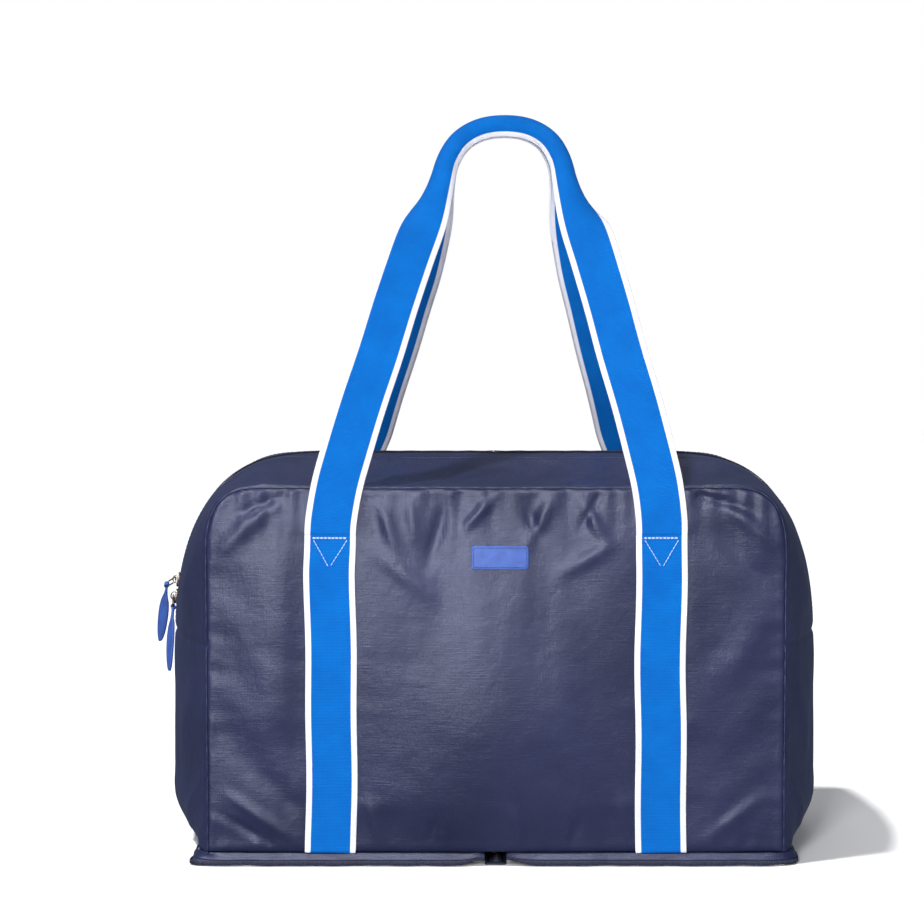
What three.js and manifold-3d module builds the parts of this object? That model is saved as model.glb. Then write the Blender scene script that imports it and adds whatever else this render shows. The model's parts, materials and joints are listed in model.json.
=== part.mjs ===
// A soft zip-top tote bag with two long webbing handles. It folds away into the zip-round pouch that
// lies open under it as its base. Units are millimetres, +Z is up, -Y is the front, and the origin is
// the middle of the base on the surface that the bag stands on.
import * as THREE from 'three';
import { mergeVertices } from 'three/addons/utils/BufferGeometryUtils.js';
import Module from 'manifold-3d';

const wasm = await Module();
wasm.setup();

// Body
const DEPTH = 250;            // front seam to back seam
const BASE_SEAM_Z = 10.4;     // where the panels meet the pouch
const SIDE_SEAM_Z = 165;      // end of the zip bands, start of the side panels
const FABRIC = 1.3;           // coated nylon with its seam allowance
const GAP = 0.4;              // clearance between two pieces that meet
const PANEL_BULGE = 8;        // how far the filled front and back stand out
const FRONT_RIM = { side: 215, top: 283, cornerX: 45, cornerZ: 60 };
const MIDDLE_RIM = { side: 249, top: 300, cornerX: 129, cornerZ: 190 };
const RIM_POWER = 3.05;       // roundness of the upper corners
const SIDE_FOOT = 35;         // height over which the side panel rounds out from the base

// Mouth
const FLAP_HALF = 150;        // the straight middle of the top, which opens
const BAND_EDGE = 16;         // fabric band to zip tape, from the middle line
const TAPE_EDGE = 3.4;        // zip tape to coil
const COIL_HALF = 3;
const COIL_HIGH = 2.4;

// Base: the opened pouch
const BASE = { halfX: 222, halfY: 125, corner: 18, spine: 8 };
const COVER = 1.6;
const RIM_Z = 8.2;            // underside of the cover at its rim
const DISH = 45;              // the cover sags to the floor over this distance
const GUSSET_FOOT_Z = 4.3;    // fabric gusset to pouch zip
const FLOOR_GAP = 0.8;
const FLARE = 2.5;            // the skirt stands out towards the floor
const NOTCH = 22;             // the skirt tapers away beside the spine

// Webbing
const WEBBING = { width: 38, thick: 1.3 };
const STRAP_X = 122;
const STITCH_Z = 246;         // top of the sewn part of each strap
const STITCH_DROP = 23;
const HANDLE_LEAN_X = 8;      // sideways sway of the handles at their top
const HANDLE_FROM_MIDDLE = 13.5;
const ROLL = THREE.MathUtils.degToRad(240);   // how far the grip curls into a tube
const TURN = THREE.MathUtils.degToRad(52);    // how far the grip turns upwards

// Leather
const LABEL = { width: 42, high: 17.3, thick: 1.2, corner: 2.5, x: 3, z: 231 };
const TAB = { length: 52, width: 13, neck: 4.6, thick: 2 };

// Zip hardware
const SLIDER = { length: 11, width: 9, plate: 1.4, lift: 0.8, wall: 0.7 };
const BRIDGE = { length: 7, high: 3.6, width: 2.2, wall: 0.9 };
const RING = { length: 9, width: 9, wire: 1.2 };
const EYE = { outer: 2, inner: 1.1 };
const SLIDER_A_Z = 199;
const SLIDER_B_Z = 186;
const RING_A_TILT = THREE.MathUtils.degToRad(55);
const PULL_LEAN = THREE.MathUtils.degToRad(24);   // the two pulls part along Y
const POUCH_PULL_Z = 7;       // the pouch's tab stands on its edge just above the floor

const material = (color, roughness, metalness = 0) =>
  new THREE.MeshStandardMaterial({ color, roughness, metalness });
const navy = material(0x2b2e52, 0.45);
const tapeNavy = material(0x1d2040, 0.7);
const coilNavy = material(0x15172c, 0.5);
const webbingBlue = material(0x0a6fd6, 0.8);
const threadWhite = material(0xe8e8f0, 0.8);
const leatherBlue = material(0x4066b8, 0.55);
const gold = material(0xd8bf90, 0.3, 1);

const bag = new THREE.Group();

function add(name, geometry, finish) {
  const mesh = new THREE.Mesh(geometry, finish);
  mesh.name = name;
  bag.add(mesh);
  return mesh;
}

// ---- Solids from surfaces ----

const lerp = THREE.MathUtils.lerp;
const smooth = (x) => THREE.MathUtils.smoothstep(x, 0, 1);

function normalAt(surface, u, v) {
  const step = 1e-3;
  const du = surface(Math.min(u + step, 1), v).sub(surface(Math.max(u - step, 0), v));
  const dv = surface(u, Math.min(v + step, 1)).sub(surface(u, Math.max(v - step, 0)));
  return du.cross(dv).normalize();
}

function volume(points, faces) {
  let sum = 0;
  for (const [a, b, c] of faces) sum += points[a].dot(points[b].clone().cross(points[c]));
  return sum;
}

function solid(points, faces) {
  const ordered = volume(points, faces) > 0 ? faces : faces.map(([a, b, c]) => [a, c, b]);
  const geometry = new THREE.BufferGeometry().setFromPoints(points);
  geometry.setIndex(ordered.flat());
  geometry.computeVertexNormals();
  return geometry;
}

// A closed sheet: `surface` is one face and the other lies `thick` behind it along the normal,
// which du x dv gives. A negative thickness puts it on the other side.
function sheet(surface, columns, rows, thick) {
  const points = [];
  for (const side of [0, 1]) {
    for (let j = 0; j <= rows; j++) {
      for (let i = 0; i <= columns; i++) {
        const [u, v] = [i / columns, j / rows];
        points.push(surface(u, v).addScaledVector(normalAt(surface, u, v), -thick * side));
      }
    }
  }
  const at = (side, i, j) => (side * (rows + 1) + j) * (columns + 1) + i;
  const faces = [];
  const quad = (a, b, c, d) => faces.push([a, b, c], [a, c, d]);
  for (let j = 0; j < rows; j++) {
    for (let i = 0; i < columns; i++) {
      quad(at(0, i, j), at(0, i + 1, j), at(0, i + 1, j + 1), at(0, i, j + 1));
      quad(at(1, i, j), at(1, i, j + 1), at(1, i + 1, j + 1), at(1, i + 1, j));
    }
    quad(at(0, 0, j), at(0, 0, j + 1), at(1, 0, j + 1), at(1, 0, j));
    quad(at(0, columns, j + 1), at(0, columns, j), at(1, columns, j), at(1, columns, j + 1));
  }
  for (let i = 0; i < columns; i++) {
    quad(at(0, i + 1, 0), at(0, i, 0), at(1, i, 0), at(1, i + 1, 0));
    quad(at(0, i, rows), at(0, i + 1, rows), at(1, i + 1, rows), at(1, i, rows));
  }
  return solid(points, faces);
}

function merged(geometry) {
  const plain = geometry.clone();
  plain.deleteAttribute('normal');
  plain.deleteAttribute('uv');
  return mergeVertices(plain, 1e-4);
}

function toManifold(geometry) {
  const plain = merged(geometry);
  return new wasm.Manifold(new wasm.Mesh({
    numProp: 3,
    vertProperties: new Float32Array(plain.attributes.position.array),
    triVerts: new Uint32Array(plain.index.array),
  }));
}

function fromManifold(body) {
  const { vertProperties, triVerts } = body.getMesh();
  const geometry = new THREE.BufferGeometry();
  geometry.setAttribute('position', new THREE.BufferAttribute(vertProperties, 3));
  geometry.setIndex(new THREE.BufferAttribute(triVerts, 1));
  geometry.computeVertexNormals();
  return geometry;
}

// Lays a flat piece, drawn in X and Y with its thickness along Z, on a surface given as (x, y) => point.
function wrap(geometry, surface, lift) {
  const plain = merged(geometry);
  const position = plain.attributes.position;
  for (let i = 0; i < position.count; i++) {
    const [x, y, z] = [position.getX(i), position.getY(i), position.getZ(i)];
    const here = surface(x, y);
    const along = surface(x + 0.5, y).sub(here);
    const up = surface(x, y + 0.5).sub(here);
    const out = along.cross(up).normalize();
    here.addScaledVector(out, z + lift);
    position.setXYZ(i, here.x, here.y, here.z);
  }
  plain.computeVertexNormals();
  return plain;
}

function roundedRectangle(width, high, corner) {
  const [x, y] = [width / 2, high / 2];
  const shape = new THREE.Shape();
  shape.moveTo(-x + corner, -y).lineTo(x - corner, -y);
  shape.absarc(x - corner, -y + corner, corner, -Math.PI / 2, 0);
  shape.lineTo(x, y - corner);
  shape.absarc(x - corner, y - corner, corner, 0, Math.PI / 2);
  shape.lineTo(-x + corner, y);
  shape.absarc(-x + corner, y - corner, corner, Math.PI / 2, Math.PI);
  shape.lineTo(-x, -y + corner);
  shape.absarc(-x + corner, -y + corner, corner, Math.PI, Math.PI * 1.5);
  return shape;
}

const extrude = (shape, depth, curveSegments = 3) =>
  new THREE.ExtrudeGeometry(shape, { depth, bevelEnabled: false, curveSegments });

// ---- The bag's outline ----

// The outline is that of the front seam at t = 0 and of the middle of the bag's depth at t = 1.
function rim(t) {
  const k = Math.sin(Math.PI / 2 * Math.min(t, 1)) ** 0.9;
  const mix = (key) => lerp(FRONT_RIM[key], MIDDLE_RIM[key], k);
  return { side: mix('side'), top: mix('top'), cornerX: mix('cornerX'), cornerZ: mix('cornerZ') };
}

const cornerDrop = (fraction) => 1 - (1 - Math.min(Math.max(fraction, 0), 1) ** RIM_POWER) ** (1 / RIM_POWER);

function halfWidth(z, t) {
  const r = rim(t);
  return r.side - r.cornerX * cornerDrop((z - r.top + r.cornerZ) / r.cornerZ);
}

function topHeight(x, t) {
  const r = rim(t);
  return r.top - r.cornerZ * cornerDrop((Math.abs(x) - r.side + r.cornerX) / r.cornerX);
}

const depthAt = (y) => 1 - Math.abs(y) / (DEPTH / 2);

// ---- Front and back panels ----

function panelY(x, z) {
  const across = 1 - Math.min(Math.abs(x) / FRONT_RIM.side, 1) ** 2;
  const rise = THREE.MathUtils.clamp((z - BASE_SEAM_Z) / (FRONT_RIM.top - BASE_SEAM_Z), 0, 1);
  const along = Math.sin(Math.PI * rise);
  return DEPTH / 2 + PANEL_BULGE * across * along;
}

// `facing` is -1 for the front and 1 for the back.
function panel(facing) {
  const bend = FRONT_RIM.top - FRONT_RIM.cornerZ;
  return (u, v) => {
    const turn = Math.min(Math.max(v - 0.7, 0) / 0.3, 1) * Math.PI / 2;
    const power = 2 / RIM_POWER;
    const z = v < 0.7 ? lerp(BASE_SEAM_Z, bend, v / 0.7)
      : bend + (FRONT_RIM.cornerZ - GAP) * Math.sin(turn) ** power;
    const half = FRONT_RIM.side - GAP - FRONT_RIM.cornerX * (1 - Math.max(Math.cos(turn), 0) ** power);
    const x = (2 * u - 1) * half;
    return new THREE.Vector3(x, facing * panelY(x, z), z);
  };
}

// ---- Bands, flaps, zip and side panels ----

// One strip of the top and sides between two depths. `along` runs from the side seam, round the
// corner, to the flap: the side is stepped in height and the top in width.
function cornerStrip(side, yFrom, yTo, lift = 0) {
  return (u, v) => {
    const y = lerp(yFrom, yTo, u);
    const t = depthAt(y);
    const r = rim(t);
    const share = 1 - 0.5 ** (1 / RIM_POWER);
    const turnZ = r.top - r.cornerZ * share;
    const turnX = r.side - r.cornerX * share;
    if (v < 0.5) {
      const z = lerp(SIDE_SEAM_Z + GAP, turnZ, v * 2);
      return new THREE.Vector3(side * (halfWidth(z, t) + lift), y, z);
    }
    const x = lerp(turnX, FLAP_HALF + GAP, v * 2 - 1);
    return new THREE.Vector3(side * x, y, topHeight(x, t) + lift);
  };
}

function topStrip(yFrom, yTo, lift = 0) {
  return (u, v) => {
    const x = lerp(-FLAP_HALF, FLAP_HALF, v);
    const y = lerp(yFrom, yTo, u);
    return new THREE.Vector3(x, y, topHeight(x, depthAt(y)) + lift);
  };
}

const seamY = DEPTH / 2 - FABRIC - 0.5;      // a band starts behind the panel that it is sewn to

// The thickness of a strip goes inwards, whichever way its grid runs.
function inward(surface, columns, rows, thick) {
  const middle = surface(0.5, 0.5);
  const centre = new THREE.Vector3(0, 0, 100);
  const outwards = normalAt(surface, 0.5, 0.5).dot(middle.sub(centre)) > 0;
  return sheet(surface, columns, rows, outwards ? thick : -thick);
}

function addMouthHalf(word, facing) {
  const edge = facing * BAND_EDGE;
  const seam = facing * seamY;
  const tapeEdge = facing * TAPE_EDGE;
  const tapeStart = edge - facing * GAP;
  for (const [side, hand] of [[-1, 'left'], [1, 'right']]) {
    add(`${word}_band_${hand}`, inward(cornerStrip(side, seam, edge), 5, 12, FABRIC), navy);
    add(`${word}_tape_${hand}`, inward(cornerStrip(side, tapeStart, tapeEdge), 1, 12, FABRIC), tapeNavy);
  }
  add(`${word}_flap`, inward(topStrip(seam, edge), 6, 6, FABRIC), navy);
  add(`${word}_tape_top`, inward(topStrip(tapeStart, tapeEdge), 1, 6, FABRIC), tapeNavy);
  const coil = inward(topStrip(facing * COIL_HALF, facing * GAP / 2, COIL_HIGH / 2), 1, 6, COIL_HIGH);
  add(`${word}_coil_top`, coil, coilNavy);
}

function addSideCoil(hand, side) {
  const strip = cornerStrip(side, -COIL_HALF, COIL_HALF, COIL_HIGH / 2);
  add(`${hand}_coil`, inward(strip, 2, 12, COIL_HIGH), coilNavy);
}

function baseHalfWidth(y) {
  const past = Math.max(Math.abs(y) - BASE.halfY + BASE.corner, 0);
  return BASE.halfX - BASE.corner + Math.sqrt(BASE.corner ** 2 - Math.min(past, BASE.corner) ** 2);
}

function addSidePanel(hand, side) {
  const surface = (u, v) => {
    const y = lerp(-seamY, seamY, u);
    const z = lerp(BASE_SEAM_Z, SIDE_SEAM_Z, v ** 1.4);
    const rise = Math.min((z - BASE_SEAM_Z) / SIDE_FOOT, 1);
    const round = Math.sqrt(1 - (1 - rise) ** 2);
    return new THREE.Vector3(side * lerp(baseHalfWidth(y), halfWidth(z, depthAt(y)), round), y, z);
  };
  add(`${hand}_side_panel`, inward(surface, 12, 8, FABRIC), navy);
}

// ---- The pouch, opened flat as the base ----

// Half of the pouch's outline, `grow` outside the rim: from the spine along the front, round the free
// end and back along the rear to the spine. These are the steps in each run and each corner.
const FRONT_STEPS = 10;
const CORNER_STEPS = 4;
const END_STEPS = 2;
const SKIRT_STEPS = 2 * FRONT_STEPS + 2 * CORNER_STEPS + END_STEPS;

function pouchOutline(s, grow) {
  const step = Math.min(s, 1 - s) * SKIRT_STEPS;
  const rear = s > 0.5 ? 1 : -1;
  const { corner, spine, halfX, halfY } = BASE;
  if (step <= FRONT_STEPS) {
    return [lerp(spine, halfX - corner, step / FRONT_STEPS), rear * (halfY + grow)];
  }
  const turned = (step - FRONT_STEPS) / CORNER_STEPS;
  if (turned <= 1) {
    const a = Math.PI / 2 * (1 - turned);
    const r = corner + grow;
    return [halfX - corner + r * Math.cos(a), rear * (halfY - corner + r * Math.sin(a))];
  }
  const along = (step - FRONT_STEPS - CORNER_STEPS) / (END_STEPS / 2);
  return [halfX + grow, rear * (halfY - corner) * (1 - along)];
}

// A cover is a flat board with a rim turned up to the seam, stepped across its width and depth.
function coverPanel(side) {
  const stops = [0, 0.06, 0.14, 0.26, 0.5, 0.74, 0.86, 0.94, 1];
  const pick = (list, w) => {
    const k = Math.min(Math.floor(w * (list.length - 1) + 1e-9), list.length - 2);
    return lerp(list[k], list[k + 1], w * (list.length - 1) - k);
  };
  const acrossStops = [0, 0.4, 0.75, 0.86, 0.94, 1];
  return (u, v) => {
    const y = (2 * pick(stops, v) - 1) * BASE.halfY;
    const outer = baseHalfWidth(y);
    const x = lerp(BASE.spine + GAP, outer, pick(acrossStops, u));
    const reach = Math.min(outer - x, BASE.halfY - Math.abs(y));
    return new THREE.Vector3(side * x, y, RIM_Z * (1 - smooth(reach / DISH)));
  };
}

// A strip of the skirt that hangs from the rim of the base, between two heights.
function skirt(side, high, low) {
  return (u, v) => {
    const [x0] = pouchOutline(u, 0);
    const room = smooth((x0 - BASE.spine) / NOTCH);
    const z = lerp(high, low, v);
    const drop = (RIM_Z - z) / (RIM_Z - FLOOR_GAP);
    const [x, y] = pouchOutline(u, GAP + FABRIC + FLARE * drop * room);
    const lifted = lerp(RIM_Z - (RIM_Z - z) * 0.45, z, room);
    return new THREE.Vector3(side * x, y, lifted);
  };
}

function addPouchHalf(hand, side) {
  const cover = coverPanel(side);
  add(`base_${hand}`, sheet(cover, 5, 8, side > 0 ? -COVER : COVER), navy);
  const gusset = skirt(side, RIM_Z, GUSSET_FOOT_Z);
  const zip = skirt(side, GUSSET_FOOT_Z - GAP, FLOOR_GAP);
  add(`pouch_gusset_${hand}`, inward(gusset, SKIRT_STEPS, 1, FABRIC), navy);
  add(`pouch_zip_${hand}`, inward(zip, SKIRT_STEPS, 1, FABRIC), coilNavy);
}

function addSpine() {
  const half = BASE.halfY - 2;
  const shape = roundedRectangle(2 * BASE.spine, 2 * half, 2);
  add('base_spine', merged(extrude(shape, COVER, 2)), navy);
}

// ---- Webbing ----

const STRAP_LIFT = 0.35;      // clearance between the strap and its panel

// The strap's outer face, as (x, z), on the front (-1) or the back (1).
function onPanel(facing, lift) {
  return (x, z) => {
    const here = (px, pz) => new THREE.Vector3(px, facing * panelY(px, pz), pz);
    const out = here(x + 1, z).sub(here(x - 1, z)).cross(here(x, z + 1).sub(here(x, z - 1)));
    return here(x, z).addScaledVector(out.normalize(), lift * (facing < 0 ? 1 : -1));
  };
}

function addStrap(name, facing, side) {
  const face = onPanel(facing, STRAP_LIFT + WEBBING.thick);
  const surface = (u, v) => face(side * STRAP_X + (u - 0.5) * WEBBING.width,
    lerp(BASE_SEAM_Z, STITCH_Z, v));
  add(name, sheet(surface, 3, 12, facing < 0 ? WEBBING.thick : -WEBBING.thick), webbingBlue);
}

// The handle's middle line by height: half of the distance between its legs. The top closes as an arch.
const HANDLE_LEG = [[247, 122], [254, 122], [283, 118], [311, 111], [344, 102], [380, 91], [416, 81],
  [452, 70], [480, 61], [508, 54.5], [530, 49], [547, 38], [557, 21]];
const HANDLE_TOP = 560;
const LEAN_FROM_Z = FRONT_RIM.top + 14;

// Distance of the handle's outer face from the middle of the bag: it lies on the panel up to the top
// seam, and from there it leans in over the mouth.
function handleDepth(z) {
  const top = FRONT_RIM.top;
  const onFabric = panelY(STRAP_X - WEBBING.width / 2, Math.min(z, top)) + 3 * STRAP_LIFT + WEBBING.thick;
  const lean = (onFabric - HANDLE_FROM_MIDDLE) / (HANDLE_TOP - LEAN_FROM_Z);
  return onFabric - lean * Math.max(z - LEAN_FROM_Z, 0);
}

function handleCurve(facing) {
  const point = (z, half) => new THREE.Vector3(
    half + HANDLE_LEAN_X * (z - STITCH_Z) / (HANDLE_TOP - STITCH_Z), facing * handleDepth(z), z);
  const left = HANDLE_LEG.map(([z, half]) => point(z, -half));
  const right = HANDLE_LEG.map(([z, half]) => point(z, half)).reverse();
  return new THREE.CatmullRomCurve3([...left, point(HANDLE_TOP, 0), ...right], false, 'centripetal');
}

// The webbing is flat on the legs. Above them it turns to face up and curls into a grip.
function handleSurface(facing) {
  const curve = handleCurve(facing);
  const lean = Math.atan2(handleDepth(300) - handleDepth(500), 200);
  const back = new THREE.Vector3(0, -facing * Math.cos(lean), -Math.sin(lean));
  return (u, v) => {
    const middle = curve.getPointAt(v);
    const along = curve.getTangentAt(v);
    const grip = smooth((middle.z - 455) / 75);
    const legFace = new THREE.Vector3(0, facing, 0);
    legFace.addScaledVector(along, -legFace.dot(along)).normalize();
    const archFace = back.clone().cross(along).multiplyScalar(-facing).normalize();
    if (archFace.z < 0) archFace.negate();
    const face = legFace.multiplyScalar(Math.cos(TURN * grip));
    face.addScaledVector(archFace, Math.sin(TURN * grip));
    face.addScaledVector(along, -face.dot(along)).normalize();
    const across = along.clone().cross(face).normalize();
    const angle = Math.max(ROLL * grip, 1e-3);
    const radius = WEBBING.width / angle;
    const a = (u - 0.5) * angle;
    return middle.addScaledVector(across, radius * Math.sin(a))
      .addScaledVector(face, -radius * (1 - Math.cos(a)));
  };
}

function addHandle(name, facing) {
  const surface = handleSurface(facing);
  const middle = normalAt(surface, 0.5, 0.02);
  const outwards = middle.y * facing > 0;
  add(name, sheet(surface, 6, 44, outwards ? WEBBING.thick : -WEBBING.thick), webbingBlue);
}

// The bar of stitches across each strap and the V under it, as one triangle of thread.
function addStitches(name, facing, side) {
  const half = WEBBING.width / 2 - 6;
  const shape = new THREE.Shape();
  shape.moveTo(-half, -1.4).lineTo(0, -STITCH_DROP).lineTo(half, -1.4);
  const hole = new THREE.Path();
  hole.moveTo(-half + 2.2, -2.4).lineTo(half - 2.2, -2.4).lineTo(0, -STITCH_DROP + 2.6);
  shape.holes.push(hole);
  const face = onPanel(facing, 0);
  const turn = facing < 0 ? 1 : -1;
  const surface = (x, y) => face(side * STRAP_X + turn * x, STITCH_Z + y);
  const lift = STRAP_LIFT + WEBBING.thick + 0.3;
  add(name, wrap(extrude(shape, 0.5), surface, lift), threadWhite);
}

// ---- Labels ----

function addLabels() {
  const plate = extrude(roundedRectangle(LABEL.width, LABEL.high, LABEL.corner), LABEL.thick);
  const face = onPanel(-1, 0);
  add('front_label', wrap(plate, (x, y) => face(LABEL.x + x, LABEL.z + y), GAP), leatherBlue);
  const flat = new THREE.Mesh(merged(plate), leatherBlue);
  flat.name = 'pouch_label';
  flat.position.set(BASE.halfX / 2, 0, COVER + GAP);
  bag.add(flat);
}

// ---- Zip sliders and pulls, drawn with the zip along Z and its outer face towards +X ----

function sliderGeometry() {
  const top = COIL_HIGH / 2 + SLIDER.lift;
  const [w, inner] = [SLIDER.width / 2, SLIDER.width / 2 - SLIDER.wall];
  const channel = new THREE.Shape();
  channel.moveTo(w, 0.5).lineTo(w, top + SLIDER.plate).lineTo(-w, top + SLIDER.plate);
  channel.lineTo(-w, 0.5).lineTo(-inner, 0.5).lineTo(-inner, top).lineTo(inner, top).lineTo(inner, 0.5);
  const body = extrude(channel, SLIDER.length);
  body.translate(0, 0, -SLIDER.length / 2);
  body.applyMatrix4(new THREE.Matrix4().makeBasis(
    new THREE.Vector3(0, 1, 0), new THREE.Vector3(1, 0, 0), new THREE.Vector3(0, 0, -1)));
  const outline = new THREE.Shape();
  const [l, h, t] = [BRIDGE.length / 2, BRIDGE.high, BRIDGE.wall];
  outline.moveTo(-l, -0.5).lineTo(l, -0.5).lineTo(l, h * 0.6).lineTo(l * 0.6, h);
  outline.lineTo(-l * 0.6, h).lineTo(-l, h * 0.6);
  const hole = new THREE.Path();
  hole.moveTo(-l + t, 0.3).lineTo(-l + t, h * 0.55).lineTo(-l * 0.5, h - t);
  hole.lineTo(l * 0.5, h - t).lineTo(l - t, h * 0.55).lineTo(l - t, 0.3);
  outline.holes.push(hole);
  const bridge = extrude(outline, BRIDGE.width);
  bridge.translate(0, 0, -BRIDGE.width / 2);
  bridge.applyMatrix4(new THREE.Matrix4().makeBasis(
    new THREE.Vector3(0, 0, 1), new THREE.Vector3(1, 0, 0), new THREE.Vector3(0, 1, 0)));
  bridge.translate(top + SLIDER.plate, 0, 0);
  return fromManifold(toManifold(body).add(toManifold(bridge)));
}

const PIVOT_OUT = COIL_HIGH / 2 + SLIDER.lift + SLIDER.plate + 1.5;

// The ring hangs from its upper wire, which lies in the bridge along Y.
function ringGeometry() {
  const [w, l, t] = [RING.width, RING.length + RING.wire, RING.wire];
  const shape = roundedRectangle(w, l, 1.6);
  shape.holes.push(roundedRectangle(w - 2 * t, l - 2 * t, 0.6));
  const ring = extrude(shape, t, 2);
  ring.translate(0, -RING.length / 2, -t / 2);
  ring.applyMatrix4(new THREE.Matrix4().makeBasis(
    new THREE.Vector3(0, 1, 0), new THREE.Vector3(0, 0, 1), new THREE.Vector3(1, 0, 0)));
  return ring;
}

// The leather tab hangs from an eye round the ring's lower wire.
function tabGeometry() {
  const [n, w, l] = [TAB.neck / 2, TAB.width / 2, TAB.length];
  const leaf = new THREE.Shape();
  leaf.moveTo(-n, -0.6).lineTo(-n, -6).bezierCurveTo(-n, -9, -w, -14, -w, -l * 0.52);
  leaf.bezierCurveTo(-w, -l * 0.75, -w * 0.55, -l, 0, -l);
  leaf.bezierCurveTo(w * 0.55, -l, w, -l * 0.75, w, -l * 0.52).bezierCurveTo(w, -14, n, -9, n, -6);
  leaf.lineTo(n, -0.6);
  const plate = extrude(leaf, TAB.thick, 5);
  plate.translate(0, 0, -TAB.thick / 2);
  plate.applyMatrix4(new THREE.Matrix4().makeBasis(
    new THREE.Vector3(0, 1, 0), new THREE.Vector3(0, 0, 1), new THREE.Vector3(1, 0, 0)));
  const eye = new THREE.CylinderGeometry(EYE.outer, EYE.outer, TAB.neck, 14);
  const bore = new THREE.CylinderGeometry(EYE.inner, EYE.inner, TAB.neck + 2, 14);
  return fromManifold(toManifold(plate).add(toManifold(eye)).subtract(toManifold(bore)));
}

// The slider stands across the zip with its plate outwards. Its ring tilts out from straight down, its tab
// hangs, and both lean along the zip's tape so that the two pulls lie beside each other.
function addSidePull(letter, z, tilt, lean) {
  const here = halfWidth(z, 1);
  const slope = Math.atan2(halfWidth(z - 5, 1) - halfWidth(z + 5, 1), 10);
  const frame = new THREE.Matrix4().makeTranslation(-here, 0, z);
  frame.multiply(new THREE.Matrix4().makeRotationY(slope));
  frame.multiply(new THREE.Matrix4().makeRotationZ(Math.PI));
  add(`slider_${letter}`, sliderGeometry(), gold).applyMatrix4(frame);
  const hang = new THREE.Group();
  hang.position.set(PIVOT_OUT, 0, 0).applyMatrix4(frame);
  hang.rotation.x = lean;
  const ring = new THREE.Mesh(ringGeometry(), gold);
  ring.name = `ring_${letter}`;
  ring.rotation.set(0, -tilt, Math.PI, 'ZYX');
  const tab = new THREE.Mesh(tabGeometry(), leatherBlue);
  tab.name = `tab_${letter}`;
  tab.position.set(-Math.sin(tilt), 0, -Math.cos(tilt)).multiplyScalar(RING.length);
  hang.add(ring, tab);
  bag.add(hang);
}

// The pouch's slider is parked at the back of the spine, with its pull lying along the skirt.
function addPouchPull() {
  const stand = new THREE.Group();
  const basis = new THREE.Matrix4().makeBasis(
    new THREE.Vector3(0, 1, 0), new THREE.Vector3(0, 0, 1), new THREE.Vector3(1, 0, 0));
  stand.applyMatrix4(basis);
  stand.position.set(0, BASE.halfY + 1, POUCH_PULL_Z);
  const pieces = [
    ['pouch_slider', sliderGeometry(), gold, 0, 0],
    ['pouch_ring', ringGeometry(), gold, PIVOT_OUT, 0],
    ['pouch_tab', tabGeometry(), leatherBlue, PIVOT_OUT, -RING.length],
  ];
  for (const [name, geometry, finish, x, z] of pieces) {
    const mesh = new THREE.Mesh(geometry, finish);
    mesh.name = name;
    mesh.position.set(x, 0, z);
    stand.add(mesh);
  }
  bag.add(stand);
}

// ---- Assembly ----

const SIDES = [[-1, 'left'], [1, 'right']];
const FACES = [[-1, 'front'], [1, 'back']];

for (const [facing, word] of FACES) {
  const thick = facing < 0 ? FABRIC : -FABRIC;
  add(`${word}_panel`, sheet(panel(facing), 12, 12, thick), navy);
  addMouthHalf(word, facing);
  addHandle(`${word}_handle`, facing);
  for (const [side, hand] of SIDES) {
    addStrap(`${word}_strap_${hand}`, facing, side);
    addStitches(`${word}_stitches_${hand}`, facing, side);
  }
}
for (const [side, hand] of SIDES) {
  addSidePanel(hand, side);
  addSideCoil(hand, side);
  addPouchHalf(hand, side);
}
addSpine();
addLabels();
addSidePull('a', SLIDER_A_Z, RING_A_TILT, PULL_LEAN);
addSidePull('b', SLIDER_B_Z, 0, -PULL_LEAN);
addPouchPull();

export default bag;
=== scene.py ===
"""A foldable zip-top tote bag with webbing handles, dressed in cloth, webbing, leather and metal.

Lengths in this file are in millimetres and are scaled to metres where a mesh is made.
"""
import json
import math

import bpy
import numpy as np
from mathutils import Matrix, Vector
from mathutils.bvhtree import BVHTree

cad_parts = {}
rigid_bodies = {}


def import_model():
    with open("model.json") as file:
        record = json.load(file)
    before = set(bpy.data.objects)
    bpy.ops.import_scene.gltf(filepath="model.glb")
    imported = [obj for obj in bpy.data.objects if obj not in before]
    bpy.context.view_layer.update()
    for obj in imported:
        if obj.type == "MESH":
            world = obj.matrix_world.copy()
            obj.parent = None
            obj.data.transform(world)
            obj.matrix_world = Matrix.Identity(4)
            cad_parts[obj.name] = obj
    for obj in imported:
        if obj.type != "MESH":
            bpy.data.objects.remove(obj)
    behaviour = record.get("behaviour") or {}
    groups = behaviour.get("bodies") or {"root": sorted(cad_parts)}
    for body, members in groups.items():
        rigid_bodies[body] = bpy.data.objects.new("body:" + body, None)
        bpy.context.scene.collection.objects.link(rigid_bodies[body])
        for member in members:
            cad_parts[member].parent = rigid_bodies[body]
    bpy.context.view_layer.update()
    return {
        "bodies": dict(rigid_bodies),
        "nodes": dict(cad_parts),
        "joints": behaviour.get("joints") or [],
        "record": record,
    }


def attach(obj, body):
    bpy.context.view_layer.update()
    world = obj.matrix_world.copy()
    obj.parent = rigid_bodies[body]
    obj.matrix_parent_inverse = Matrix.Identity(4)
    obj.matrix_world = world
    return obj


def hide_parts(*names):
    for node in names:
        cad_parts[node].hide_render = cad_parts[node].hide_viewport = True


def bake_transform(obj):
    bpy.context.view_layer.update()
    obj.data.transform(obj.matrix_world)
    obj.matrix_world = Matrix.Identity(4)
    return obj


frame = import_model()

MM = 0.001
HALVES = ((-1, "front"), (1, "back"))
ENDS = ((-1, "left"), (1, "right"))


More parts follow.
